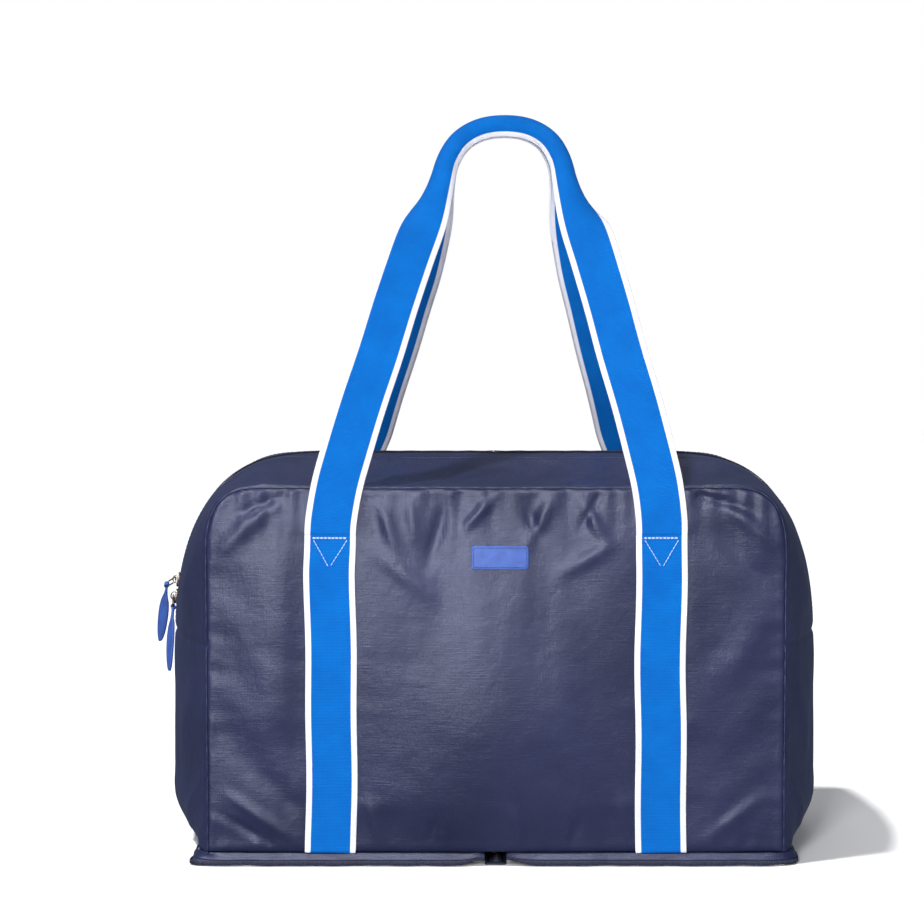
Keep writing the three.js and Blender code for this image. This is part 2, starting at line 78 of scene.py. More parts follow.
# ---- Dimensions, as in the CAD model ----
HALF_DEPTH = 125.0
BASE_SEAM_Z = 10.4
SIDE_SEAM_Z = 165.0
PANEL_BULGE = 8.0
FRONT_RIM = dict(side=215.0, top=283.0, corner_x=45.0, corner_z=60.0)
MIDDLE_RIM = dict(side=249.0, top=300.0, corner_x=129.0, corner_z=190.0)
RIM_POWER = 3.05
SIDE_FOOT = 35.0
FLAP_HALF = 150.0
BAND_EDGE = 16.0
TAPE_EDGE = 3.4
BASE_X, BASE_Y, BASE_R, SPINE = 222.0, 125.0, 18.0, 8.0
RIM_Z = 8.2
STRAP_X = 122.0
STRAP_WIDTH = 38.0
STRAP_THICK = 1.3
STITCH_Z = 246.0
STITCH_DROP = 23.0
HANDLE_TOP = 560.0
HANDLE_SWAY = 8.0
HANDLE_FROM_MIDDLE = 13.5
LEAN_FROM_Z = 297.0
HANDLE_LEG = [(247, 122), (254, 122), (283, 118), (311, 111), (344, 102), (380, 91), (416, 81),
              (452, 70), (480, 61), (508, 54.5), (530, 49), (547, 38), (557, 21)]
GRIP_ROLL = math.radians(240)
GRIP_TURN = math.radians(52)
GRIP_START, GRIP_RUN = 455, 75      # the height where the webbing starts to roll, and over how much
BACK_LEG_SLACK = 9.0       # the rear handle's legs hang this much closer together
MESH_CENTRE = (0, 0, 120)  # a point inside the bag
CLOTH_THICK = 0.7
LABEL = dict(width=42.0, high=17.3, thick=1.2, corner=2.5, x=3.0, z=231.0)


def lerp(a, b, k):
    return a + (b - a) * k


def smooth(x):
    x = np.clip(x, 0.0, 1.0)
    return x * x * (3 - 2 * x)


def unit(vectors):
    return vectors / np.maximum(np.linalg.norm(vectors, axis=-1, keepdims=True), 1e-9)


def distances(path):
    """How far along the path each of its points is."""
    return np.concatenate([[0], np.cumsum(np.linalg.norm(np.diff(path, axis=0), axis=1))])


def sample(path, s, where):
    """The path at the distances `where`, if `s` holds the distances of its own points."""
    return np.stack([np.interp(where, s, column) for column in path.T], axis=1)


# ---- Mesh helpers ----
def link(obj):
    bpy.context.scene.collection.objects.link(obj)
    return obj


def mesh_object(name, points, faces, material=None, flat=None):
    """A mesh from points in millimetres. `flat` gives each point's place on the cut cloth."""
    mesh = bpy.data.meshes.new(name)
    mesh.from_pydata((np.asarray(points, float).reshape(-1, 3) * MM).tolist(), [], faces)
    mesh.polygons.foreach_set("use_smooth", [True] * len(mesh.polygons))
    if flat is not None:
        values = np.zeros((len(mesh.vertices), 3), np.float32)
        flat = np.asarray(flat, float).reshape(-1, np.asarray(flat).shape[-1])
        values[:, :flat.shape[1]] = flat * MM
        mesh.attributes.new("cloth", "FLOAT_VECTOR", "POINT").data.foreach_set("vector", values.ravel())
    mesh.update()
    if material is not None:
        mesh.materials.append(material)
    return link(bpy.data.objects.new(name, mesh))


def grid_faces(rows, columns, flip=False):
    j, i = np.meshgrid(np.arange(rows - 1), np.arange(columns - 1), indexing="ij")
    a = (j * columns + i).ravel()
    quads = np.stack([a, a + 1, a + columns + 1, a + columns], axis=1)
    return (quads[:, ::-1] if flip else quads).tolist()


def grid_normals(grid):
    return unit(np.cross(np.gradient(grid, axis=1), np.gradient(grid, axis=0)))


def outward(grid):
    normal = grid_normals(grid)
    return normal * np.where(np.sum(normal * (grid - MESH_CENTRE), axis=-1, keepdims=True) > 0, 1.0, -1.0)


def refine(grid, times):
    """A grid with `times` as many cells each way, by Catmull-Rom interpolation."""
    def along(g):
        g = np.concatenate([2 * g[:1] - g[1:2], g, 2 * g[-1:] - g[-2:-1]])
        rows = []
        for k in range(1, len(g) - 2):
            p0, p1, p2, p3 = g[k - 1], g[k], g[k + 1], g[k + 2]
            for s in range(times):
                t = s / times
                rows.append(0.5 * (2 * p1 + (p2 - p0) * t + (2 * p0 - 5 * p1 + 4 * p2 - p3) * t * t
                                   + (3 * p1 - p0 - 3 * p2 + p3) * t ** 3))
        rows.append(g[-2])
        return np.array(rows)
    return np.swapaxes(along(np.swapaxes(along(grid), 0, 1)), 0, 1)


def thicken(obj, thick, offset=-1.0):
    modifier = obj.modifiers.new("Cloth thickness", "SOLIDIFY")
    modifier.thickness = thick * MM
    modifier.offset = offset
    modifier.use_even_offset = False
    return obj


def cloth_grid(name, grid, flat, material, normal, thick=CLOTH_THICK):
    """A closed sheet with `grid` as its outer face. Its shading normals are those of the whole cloth."""
    rows, columns = grid.shape[:2]
    count = rows * columns
    flip = np.sum(grid_normals(grid) * normal) < 0
    outer_faces = grid_faces(rows, columns, flip)
    inner_faces = [[count + k for k in face[::-1]] for face in outer_faces]
    top, left = np.arange(columns), np.arange(rows) * columns
    border = np.concatenate([top[:-1], left[:-1] + columns - 1, (count - columns) + top[:0:-1], left[:0:-1]])
    border = border.tolist()
    rim = [[a, b, b + count, a + count] for a, b in zip(border, border[1:] + border[:1])]
    rim = rim if flip else [face[::-1] for face in rim]
    both = np.stack([grid, grid - normal * thick])
    obj = mesh_object(name, both, outer_faces + inner_faces + rim, material, np.stack([flat, flat]))
    obj.data.normals_split_custom_set_from_vertices(np.stack([normal, -normal]).reshape(-1, 3).tolist())
    return obj


def join_meshes(name, parts, material):
    """One object from (points, faces) lists in millimetres."""
    points, faces, start = [], [], 0
    for p, f in parts:
        points.append(np.asarray(p, float))
        faces += [[start + k for k in face] for face in f]
        start += len(p)
    return mesh_object(name, np.concatenate(points), faces, material)


# ---- Materials ----
class Nodes:
    """A short way to write a node tree."""

    def __init__(self, name, **values):
        self.material = bpy.data.materials.new(name)
        self.material.use_nodes = True
        self.tree = self.material.node_tree
        self.shader = self.tree.nodes["Principled BSDF"]
        for socket, value in values.items():
            self.shader.inputs[socket.replace("_", " ")].default_value = value
        self.place = self.add("TexCoord").outputs["Object"]
        self.cloth = self.add("Attribute", attribute_name="cloth").outputs["Vector"]

    def add(self, kind, inputs=None, **settings):
        node = self.tree.nodes.new("ShaderNode" + kind)
        for key, value in settings.items():
            setattr(node, key, value)
        for key, value in (inputs or {}).items():
            if isinstance(value, bpy.types.NodeSocket):
                self.tree.links.new(value, node.inputs[key])
            else:
                node.inputs[key].default_value = value
        return node

    def math(self, operation, a, b=0.0):
        return self.add("Math", {0: a, 1: b}, operation=operation).outputs[0]

    def wave(self, value, pitch):
        """The absolute sine of a length in metres, with one bump every `pitch`."""
        return self.math("ABSOLUTE", self.math("SINE", self.math("MULTIPLY", value, math.pi / pitch)))

    def blend(self, a, weight_a, b, weight_b):
        return self.math("ADD", self.math("MULTIPLY", a, weight_a), self.math("MULTIPLY", b, weight_b))

    def noise(self, vector, scale, detail=3.0, rough=0.55):
        inputs = {"Vector": vector, "Scale": scale, "Detail": detail, "Roughness": rough}
        return self.add("TexNoise", inputs).outputs["Fac"]

    def ramp(self, value, low, high):
        return self.add("MapRange", {"Value": value, "From Min": low, "From Max": high},
                        clamp=True).outputs["Result"]

    def between(self, value, low, high):
        return self.add("MapRange", {"Value": value, "To Min": low, "To Max": high}).outputs["Result"]

    def mix(self, factor, a, b):
        return self.add("Mix", {0: factor, 6: a, 7: b}, data_type="RGBA").outputs[2]

    def bump(self, height, strength, distance, normal=None):
        inputs = {"Height": height, "Strength": strength, "Distance": distance}
        if normal is not None:
            inputs["Normal"] = normal
        return self.add("Bump", inputs).outputs["Normal"]

    def to(self, socket, value):
        self.tree.links.new(value, self.shader.inputs[socket])


def linear(red, green, blue):
    """A colour of the screen's scale, 0 to 255, as the renderer's linear one."""
    def one(v):
        v /= 255
        return v / 12.92 if v <= 0.04045 else ((v + 0.055) / 1.055) ** 2.4
    return (one(red), one(green), one(blue), 1.0)


WEAVE_PITCH = 0.0009
STRIPE_EDGE = 0.0147       # from the webbing's middle to its white stripe


def nylon(name, dark, light, roughness):
    """Thin woven cloth, with fine creases along both threads, crinkles and broad ripples."""
    n = Nodes(name, Specular_IOR_Level=0.58, Specular_Tint=(0.8, 0.83, 1.0, 1))
    tone = n.blend(n.noise(n.place, 9.0, 3.0), 0.75, n.noise(n.cloth, 900.0, 2.0), 0.25)
    n.to("Base Color", n.mix(n.ramp(tone, 0.35, 0.68), dark, light))
    n.to("Roughness", n.between(n.noise(n.place, 30.0, 4.0), roughness - 0.05, roughness + 0.09))
    lines = [n.noise(n.add("Mapping", {"Vector": n.cloth, "Scale": scale}).outputs[0], 1.0, 3.0, 0.6)
             for scale in ((60.0, 900.0, 60.0), (900.0, 60.0, 60.0))]
    creases = n.bump(n.blend(lines[0], 1.0, lines[1], 0.7), 0.34, 0.0005)
    crinkle = n.bump(n.noise(n.place, 75.0, 5.0, 0.6), 0.3, 0.0018, creases)
    ripple = n.bump(n.noise(n.place, 24.0, 2.0, 0.5), 0.22, 0.005, crinkle)
    split = n.add("SeparateXYZ", {0: n.cloth}).outputs
    warp = n.wave(n.math("ADD", split[0], split[1]), WEAVE_PITCH / 2)
    weave = n.blend(warp, 1.0, n.wave(split[1], WEAVE_PITCH / 2), 0.6)
    n.to("Normal", n.bump(weave, 0.25, 0.0001, ripple))
    return n.material


def webbing(name):
    """Ribbed webbing: a wide blue middle and a white stripe along each edge."""
    n = Nodes(name, Sheen_Weight=0.0, Specular_IOR_Level=0.08)
    split = n.add("SeparateXYZ", {0: n.cloth}).outputs
    saw = n.math("SINE", n.math("MULTIPLY", split[1], 2 * math.pi / 0.0016))
    edge = n.blend(n.math("ABSOLUTE", split[0]), 1.0, saw, 0.00016)
    fine = n.noise(n.cloth, 1500.0, 2.0)
    tone = n.ramp(n.blend(fine, 0.6, n.noise(n.cloth, 40.0, 2.0), 0.4), 0.3, 0.7)
    blue = n.mix(tone, linear(0, 78, 154), linear(0, 98, 178))
    white = n.mix(tone, linear(196, 197, 208), linear(218, 219, 229))
    n.to("Base Color", n.mix(n.ramp(edge, STRIPE_EDGE - 0.0001, STRIPE_EDGE + 0.0001), blue, white))
    ribs = n.blend(n.wave(split[1], 0.0011), 1.0, n.wave(split[0], 0.0009), 0.5)
    n.to("Roughness", n.between(fine, 0.62, 0.82))
    n.to("Normal", n.bump(n.blend(ribs, 1.0, fine, 0.8), 0.8, 0.0003))
    return n.material


def leather(name):
    n = Nodes(name, Specular_IOR_Level=0.5, Coat_Weight=0.08, Coat_Roughness=0.3)
    cell = n.add("TexVoronoi", {"Vector": n.place, "Scale": 900.0}, feature="SMOOTH_F1")
    grain = n.math("ADD", cell.outputs["Distance"], n.noise(n.place, 1400.0, 3.0))
    patch = n.ramp(n.noise(n.place, 120.0, 3.0), 0.3, 0.7)
    n.to("Base Color", n.mix(patch, linear(30, 66, 140), linear(42, 80, 158)))
    n.to("Roughness", n.between(grain, 0.42, 0.6))
    n.to("Normal", n.bump(grain, 0.35, 0.00025))
    return n.material


def thread(name, colour, other):
    n = Nodes(name, Roughness=0.7, Sheen_Weight=0.2)
    strand = n.noise(n.place, 1800.0, 2.0)
    n.to("Base Color", n.mix(n.ramp(strand, 0.35, 0.65), colour, other))
    n.to("Normal", n.bump(strand, 0.4, 0.0001))
    return n.material


def gold_metal(name):
    n = Nodes(name, Metallic=1.0, Specular_IOR_Level=0.5)
    wear = n.noise(n.place, 300.0, 4.0)
    n.to("Base Color", n.mix(n.ramp(wear, 0.35, 0.7), linear(176, 160, 138), linear(126, 114, 98)))
    n.to("Roughness", n.between(wear, 0.2, 0.38))
    n.to("Normal", n.bump(n.noise(n.place, 2500.0, 2.0), 0.06, 0.00005))
    return n.material


def coil_plastic(name):
    n = Nodes(name, Specular_IOR_Level=0.5)
    spot = n.noise(n.place, 500.0, 3.0)
    n.to("Base Color", n.mix(n.ramp(spot, 0.3, 0.7), linear(22, 24, 42), linear(38, 41, 66)))
    n.to("Roughness", n.between(spot, 0.3, 0.5))
    n.to("Normal", n.bump(spot, 0.15, 0.0001))
    return n.material


def plain_stage(name):
    n = Nodes(name, Base_Color=(0.93, 0.93, 0.94, 1))
    n.to("Roughness", n.ramp(n.noise(n.place, 3.0), -1.0, 1.0))
    return n.material


NYLON = nylon("navy nylon", linear(22, 26, 52), linear(35, 39, 70), 0.34)
TAPE = nylon("zip tape", linear(18, 20, 40), linear(30, 33, 58), 0.6)
WEBBING = webbing("striped webbing")
LEATHER = leather("blue leather")
WHITE_THREAD = thread("white thread", linear(176, 196, 226), linear(214, 222, 238))
NAVY_THREAD = thread("navy thread", linear(26, 28, 52), linear(60, 63, 96))
BLUE_THREAD = thread("blue thread", linear(12, 26, 84), linear(28, 48, 116))
GOLD = gold_metal("pale gold")
COIL = coil_plastic("nylon coil")


# ---- The outline of the bag ----
def rim(t):
    k = np.sin(np.pi / 2 * np.clip(t, 0, 1)) ** 0.9
    return {key: lerp(FRONT_RIM[key], MIDDLE_RIM[key], k) for key in FRONT_RIM}


def corner_drop(fraction):
    return 1 - (1 - np.clip(fraction, 0, 1) ** RIM_POWER) ** (1 / RIM_POWER)


def half_width(z, t):
    r = rim(t)
    return r["side"] - r["corner_x"] * corner_drop((z - r["top"] + r["corner_z"]) / r["corner_z"])


def top_height(x, t):
    r = rim(t)
    return r["top"] - r["corner_z"] * corner_drop((np.abs(x) - r["side"] + r["corner_x"]) / r["corner_x"])


def panel_y(x, z):
    across = 1 - np.minimum(np.abs(x) / FRONT_RIM["side"], 1) ** 2
    along = np.sin(np.pi * np.clip((z - BASE_SEAM_Z) / (FRONT_RIM["top"] - BASE_SEAM_Z), 0, 1))
    return HALF_DEPTH + PANEL_BULGE * across * along


def base_half_width(y):
    past = np.clip(np.abs(y) - BASE_Y + BASE_R, 0, BASE_R)
    return BASE_X - BASE_R + np.sqrt(BASE_R ** 2 - past ** 2)


# The steps of the cloth: up a side, over the top, and through the depth.
LOW_ROWS, HIGH_ROWS = 18, 12
SIDE_ROWS = LOW_ROWS + HIGH_ROWS
CORNER_COLUMNS, FLAP_COLUMNS = 8, 32
TOP_COLUMNS = 2 * CORNER_COLUMNS + FLAP_COLUMNS
OUTLINE = 2 * SIDE_ROWS + TOP_COLUMNS
HALF_STOPS = [125, 118.5, 110, 100, 89, 77, 65, 52, 40, 28, BAND_EDGE, 9.7, TAPE_EDGE]
Y_STOPS = np.array([-y for y in HALF_STOPS] + [0] + HALF_STOPS[::-1], float)
DEPTH_COLUMNS = len(Y_STOPS)
TAPE_AT = HALF_STOPS.index(BAND_EDGE)
SHARE = 1 - 0.5 ** (1 / RIM_POWER)


def side_heights(t):
    r = rim(t)
    turn = r["top"] - r["corner_z"] * SHARE
    return np.concatenate([np.linspace(BASE_SEAM_Z, SIDE_SEAM_Z, LOW_ROWS + 1)[:-1],
                           np.linspace(SIDE_SEAM_Z, turn, HIGH_ROWS + 1)])


def top_places(t):
    r = rim(t)
    turn = r["side"] - r["corner_x"] * SHARE
    left = np.linspace(-turn, -FLAP_HALF, CORNER_COLUMNS + 1)
    return np.concatenate([left[:-1], np.linspace(-FLAP_HALF, FLAP_HALF, FLAP_COLUMNS + 1), -left[::-1][1:]])


def outline_points(y):
    """The bag's outline at one depth, from the lower left, over the top, to the lower right."""
    t = 1 - abs(y) / HALF_DEPTH
    z = side_heights(t)
    rise = np.clip((z - BASE_SEAM_Z) / SIDE_FOOT, 0, 1)
    x = lerp(base_half_width(y), half_width(z, t), np.sqrt(1 - (1 - rise) ** 2))
    if abs(y) == HALF_DEPTH:
        x = half_width(z, t)
    top = top_places(t)
    left = np.stack([-x, np.full_like(z, y), z], axis=1)
    over = np.stack([top, np.full_like(top, y), top_height(top, t)], axis=1)
    right = left[::-1] * (-1, 1, 1)
    return np.concatenate([left[:-1], over, right[1:]])


def strip_grid():
    return np.stack([outline_points(y) for y in Y_STOPS], axis=1)


def panel_grid(facing):
    """The front (-1) or back (1) panel, rows up and columns from left to right."""
    edge = outline_points(facing * HALF_DEPTH)
    left = edge[:SIDE_ROWS + 1]
    right = edge[::-1][:SIDE_ROWS + 1]
    top = edge[SIDE_ROWS:SIDE_ROWS + TOP_COLUMNS + 1]
    foot = np.stack([np.interp(top[:, 0], [top[0, 0], top[-1, 0]], [left[0, 0], right[0, 0]]),
                     np.full(len(top), facing * HALF_DEPTH), np.full(len(top), BASE_SEAM_Z)], axis=1)
    u = np.linspace(0, 1, TOP_COLUMNS + 1)[None, :, None]
    v = np.linspace(0, 1, SIDE_ROWS + 1)[:, None, None]
    grid = (1 - u) * left[:, None] + u * right[:, None] + (1 - v) * foot[None] + v * top[None]
    grid -= ((1 - u) * (1 - v) * left[0] + u * (1 - v) * right[0] + (1 - u) * v * left[-1]
             + u * v * right[-1])
    grid[..., 1] = facing * panel_y(grid[..., 0], grid[..., 2])
    return grid


# ---- The cloth simulation ----
class Shell:
    """All the panels as one mesh, and where each grid's points are in it."""

    def __init__(self):
        strip, front, back = strip_grid(), panel_grid(-1), panel_grid(1)
        self.points = list(strip.reshape(-1, 3))
        self.strip = np.arange(strip.shape[0] * strip.shape[1]).reshape(strip.shape[:2])
        self.front = self.add_panel(front, self.strip[:, 0])
        self.back = self.add_panel(back, self.strip[:, -1])
        self.points = np.array(self.points)

    def add_panel(self, grid, seam):
        index = np.full(grid.shape[:2], -1)
        index[:, 0] = seam[:SIDE_ROWS + 1]
        index[:, -1] = seam[::-1][:SIDE_ROWS + 1]
        index[-1] = seam[SIDE_ROWS:SIDE_ROWS + TOP_COLUMNS + 1]
        for place in zip(*np.nonzero(index < 0)):
            index[place] = len(self.points)
            self.points.append(grid[place])
        return index

    def faces(self):
        def quads(index, flip):
            a, b, c, d = index[:-1, :-1], index[:-1, 1:], index[1:, 1:], index[1:, :-1]
            stack = [a, b, c, d] if not flip else [d, c, b, a]
            return np.stack([k.ravel() for k in stack], axis=1).tolist()
        return quads(self.strip, True) + quads(self.front, False) + quads(self.back, True)

    def smoothed(self, field, passes=2):
        """The field with its finest ripples, one cell long, averaged away."""
        for _ in range(passes):
            total, count = np.zeros_like(field), np.zeros(len(field))
            for index in (self.strip, self.front, self.back):
                for a, b in ((index[1:], index[:-1]), (index[:, 1:], index[:, :-1])):
                    a, b = a.ravel(), b.ravel()
                    for to, of in ((a, b), (b, a)):
                        np.add.at(total, to, field[of])
                        np.add.at(count, to, 1)
            field = 0.5 * field + 0.5 * total / count[:, None]
        return field

    def held(self):
        """How firmly each point is held: seams and base fully, zip tape and straps in part."""
        weight = np.zeros(len(self.points))
        x, y, z = self.points.T
        under_strap = (np.abs(np.abs(x) - STRAP_X) < STRAP_WIDTH / 2) & (np.abs(y) >= HALF_DEPTH - 0.1)
        weight[under_strap & (z < STITCH_Z + 4)] = 0.35
        weight[np.abs(y) <= BAND_EDGE + 0.1] = 0.6
        weight[(np.abs(y) < HALF_DEPTH - 1) & (np.abs(z - SIDE_SEAM_Z) < 0.1)] = 0.7
        weight[z < BASE_SEAM_Z + 0.1] = 1.0
        weight[self.strip[:, 0]] = 1.0
        weight[self.strip[:, -1]] = 1.0
        return weight

    def gathered(self):
        """Where the cloth is longer than the seam that it is sewn to."""
        x, y, z = self.points.T
        to_front = np.maximum(HALF_DEPTH - np.abs(y), 0)
        to_edge = np.minimum(half_width(z, 0.0) - np.abs(x), top_height(x, 0.0) - z)
        near = np.where(np.abs(y) >= HALF_DEPTH - 0.1, np.maximum(to_edge, 0), to_front)
        near = np.minimum(near, z - BASE_SEAM_Z)
        return np.exp(-np.maximum(near, 0) / 28.0)


CLOTH_FRAMES = 26
CLOTH_REACH = 9.0          # the most that a point may move, in millimetres


def add_group(obj, name, weights):
    group = obj.vertex_groups.new(name=name)
    for k, weight in enumerate(weights):
        if weight > 0:
            group.add([k], float(weight), "REPLACE")
    return name


def simulate(shell):
    """Fills the shell with a soft load, with the cloth gathered into its seams."""
    obj = mesh_object("cloth_draft", shell.points, shell.faces())
    modifier = obj.modifiers.new("Cloth", "CLOTH")
    s = modifier.settings
    s.quality = 7
    s.mass = 0.12
    s.tension_stiffness = 30
    s.compression_stiffness = 30
    s.shear_stiffness = 12
    s.bending_stiffness = 0.2
    s.tension_damping = s.compression_damping = 12
    s.vertex_group_mass = add_group(obj, "held", shell.held())
    s.vertex_group_shrink = add_group(obj, "gathered", shell.gathered())
    s.shrink_min = -0.004
    s.shrink_max = -0.045
    s.use_pressure = True
    s.uniform_pressure_force = 0.35
    s.effector_weights.gravity = 0.25
    modifier.collision_settings.use_collision = False
    modifier.collision_settings.use_self_collision = False
    modifier.point_cache.frame_start, modifier.point_cache.frame_end = 1, CLOTH_FRAMES
    scene = bpy.context.scene
    for step in range(1, CLOTH_FRAMES + 1):
        scene.frame_set(step)
    posed = obj.evaluated_get(bpy.context.evaluated_depsgraph_get())
    after = np.zeros(len(shell.points) * 3)
    posed.data.vertices.foreach_get("co", after)
    after = after.reshape(-1, 3) / MM
    scene.frame_set(1)
    bpy.data.objects.remove(obj)
    move = shell.smoothed(after - shell.points)
    size = np.linalg.norm(move, axis=1, keepdims=True)
    return shell.points + move * np.minimum(1, CLOTH_REACH / np.maximum(size, 1e-6)) ** 0.8


# ---- Folds and puckers, added to the fine grids ----
def fold(x, z, start, end, width, height, skew=0.0):
    """A ridge (or with a negative height a valley) along a line, tapering to its ends."""
    start, end = np.array(start, float), np.array(end, float)
    line = end - start
    length = np.linalg.norm(line)
    line /= length
    s = ((x - start[0]) * line[0] + (z - start[1]) * line[1]) / length
    d = -(x - start[0]) * line[1] + (z - start[1]) * line[0]
    taper = np.sin(np.pi * np.clip(s, 0, 1)) ** 1.3
    shape = np.exp(-(d / width) ** 2) * (1 - skew * np.tanh(d / width))
    return height * taper * shape


def pucker(along, away, period, depth, reach, seed):
    """Small gathers that start at a seam and die out away from it."""
    local = np.random.default_rng(seed)
    total = np.zeros_like(along)
    for k in range(5):
        total += np.sin(2 * np.pi * along / (period * local.uniform(0.7, 1.7)) + local.uniform(0, 6.3)) / 2.2
    swing = 0.65 + 0.35 * np.sin(2 * np.pi * along / 170 + local.uniform(0, 6.3))
    return depth * total * swing * np.exp(-np.maximum(away, 0) / reach) * (1 - np.exp(-away / 2.5))


def seam_tuck(away):
    return -1.3 * np.exp(-(away / 1.5) ** 2) + 0.3 * np.exp(-((away - 4.5) / 2.8) ** 2)


FOLD_DEPTH = 1.5
FRONT_FOLDS = [
    # gathers that fan down from the top seam between the straps
    ((-88, 281), (-70, 226), 5.0, 1.7), ((-64, 281), (-58, 236), 4.0, 1.3),
    ((-34, 281), (-52, 214), 5.5, -1.5), ((4, 281), (-26, 248), 4.0, 1.4),
    ((18, 281), (34, 240), 4.5, -1.5), ((46, 281), (20, 232), 5.0, 1.6),
    ((60, 281), (84, 236), 4.5, 1.7), ((78, 281), (62, 248), 3.5, -1.2),
    ((98, 246), (40, 214), 6.0, 1.3), ((-100, 246), (-40, 196), 7.0, 1.4),
    # long slack folds
    ((8, 262), (4, 16), 62.0, 3.4), ((-58, 250), (-66, 20), 30.0, -1.3),
    ((60, 226), (96, 26), 22.0, -1.4), ((-152, 262), (-168, 60), 20.0, 1.6),
    ((160, 256), (176, 70), 20.0, -1.2), ((150, 120), (208, 196), 14.0, 1.2),
    # pulls from the lower corners
    ((-208, 60), (-140, 14), 5.0, 1.6), ((-212, 44), (-158, 12), 3.6, -1.2),
    ((-200, 92), (-120, 22), 9.0, -1.3), ((206, 58), (150, 14), 6.0, 1.3),
    ((-96, 58), (-84, 12), 5.0, 1.0), ((-40, 46), (-52, 12), 4.5, -1.0),
    ((10, 52), (22, 12), 5.0, 1.1), ((66, 44), (54, 12), 4.0, -0.9), ((92, 60), (100, 12), 5.0, 0.9),
    # pulls at the upper corners
    ((212, 232), (158, 279), 6.0, 1.8), ((196, 262), (140, 280), 3.5, -1.6),
    ((204, 206), (150, 262), 8.0, -1.4), ((-212, 230), (-156, 279), 7.0, 1.5),
    ((-196, 260), (-150, 280), 4.0, -1.2),
]
BACK_FOLDS = [((-x1 * 0.9 + 6, z1), (-x2 * 0.9 + 10, z2), width, height)
              for (x1, z1), (x2, z2), width, height in FRONT_FOLDS]


def strap_calm(x, z):
    """Less wrinkling where webbing is sewn down."""
    away = np.maximum(np.abs(np.abs(x) - STRAP_X - 2) - STRAP_WIDTH / 2, 0)
    return np.where(z < STITCH_Z + 3, 0.35 + 0.65 * smooth(away / 14), 1.0)


def dress_panel(grid, facing):
    """Adds folds, puckers and the seam's tuck to the front or back panel."""
    x, z = grid[..., 0].copy(), grid[..., 2].copy()
    to_side = np.maximum(half_width(z, 0.0) - np.abs(x), 0)
    to_top = np.maximum(top_height(x, 0.0) - z, 0)
    to_foot = np.maximum(z - BASE_SEAM_Z, 0)
    lift = np.zeros_like(x)
    for start, end, width, height in (FRONT_FOLDS if facing < 0 else BACK_FOLDS):
        lift += fold(x, z, start, end, width, height * FOLD_DEPTH, 0.25)
    lift += pucker(x, to_top, 15, 1.35, 17, 11 if facing < 0 else 21)
    lift += pucker(x + 40, to_foot, 13, 0.75, 11, 12 if facing < 0 else 22)
    lift += pucker(z + (x > 0) * 500, to_side, 19, 0.8, 12, 13 if facing < 0 else 23)
    lift *= strap_calm(x, z)
    edge = np.minimum(np.minimum(to_side, to_top), to_foot)
    lift *= smooth(edge / 5)
    normal = grid_normals(grid)
    normal *= np.sign((normal[..., 1:2] * facing).mean())
    blend = np.exp(-edge / 4.0)[..., None]
    outline = np.stack([np.where(to_side < to_top, np.sign(x), 0.0), np.full_like(x, facing),
                        np.where(to_side < to_top, 0.0, 1.0)], axis=-1)
    outline[..., 2] = np.where(to_foot < np.minimum(to_side, to_top), 0.0, outline[..., 2])
    outline[..., 0] = np.where(to_foot < np.minimum(to_side, to_top), 0.0, outline[..., 0])
    direction = unit(normal * (1 - blend) + unit(outline) * blend)
    return grid + direction * (lift + seam_tuck(edge))[..., None]


def strip_lengths(grid):
    """How far each point is along the outline and across the depth, on the cloth."""
    across = np.cumsum(np.linalg.norm(np.diff(grid, axis=1), axis=2), axis=1)
    across = np.concatenate([np.zeros_like(grid[:, :1, 0]), across], axis=1)
    along = distances(grid[:, grid.shape[1] // 2])
    return np.repeat(along[:, None], grid.shape[1], axis=1), across


# Each is the start and end of a fold on one half of the top (or on a side), its width and its height.
TOP_FOLDS = [
    ((40, 124), (92, 40), 9.0, 2.4), ((66, 124), (132, 62), 7.0, -1.9), ((4, 124), (46, 30), 10.0, -2.0),
    ((-30, 124), (12, 44), 8.0, 1.9), ((-62, 124), (-28, 56), 7.0, -1.6), ((-90, 122), (-60, 34), 10.0, 2.0),
    ((-128, 120), (-104, 40), 9.0, -1.6), ((104, 122), (146, 50), 9.0, 2.0),
    ((168, 116), (190, 44), 10.0, -1.6), ((-164, 118), (-186, 46), 10.0, 1.7), ((22, 122), (32, 80), 4.0, 1.2),
    ((84, 123), (98, 86), 4.0, 1.2), ((-46, 123), (-50, 84), 4.0, -1.1), ((52, 123), (62, 90), 4.0, -1.1),
]
SIDE_FOLDS = [
    ((-110, 155), (-60, 60), 12.0, 1.8), ((-40, 150), (-70, 40), 14.0, -1.6), ((20, 158), (0, 50), 16.0, 1.6),
    ((60, 150), (90, 40), 12.0, 1.7), ((105, 140), (60, 20), 9.0, -1.4), ((-118, 70), (-70, 14), 6.0, 1.5),
    ((-30, 60), (-44, 12), 6.0, 1.2), ((40, 62), (30, 12), 6.0, -1.2), ((112, 66), (84, 12), 6.0, 1.4),
    ((-112, 236), (-50, 176), 9.0, 1.3), ((110, 240), (60, 172), 9.0, 1.3), ((-100, 262), (-30, 230), 8.0, -1.1),
    ((96, 262), (36, 224), 8.0, -1.1),
]


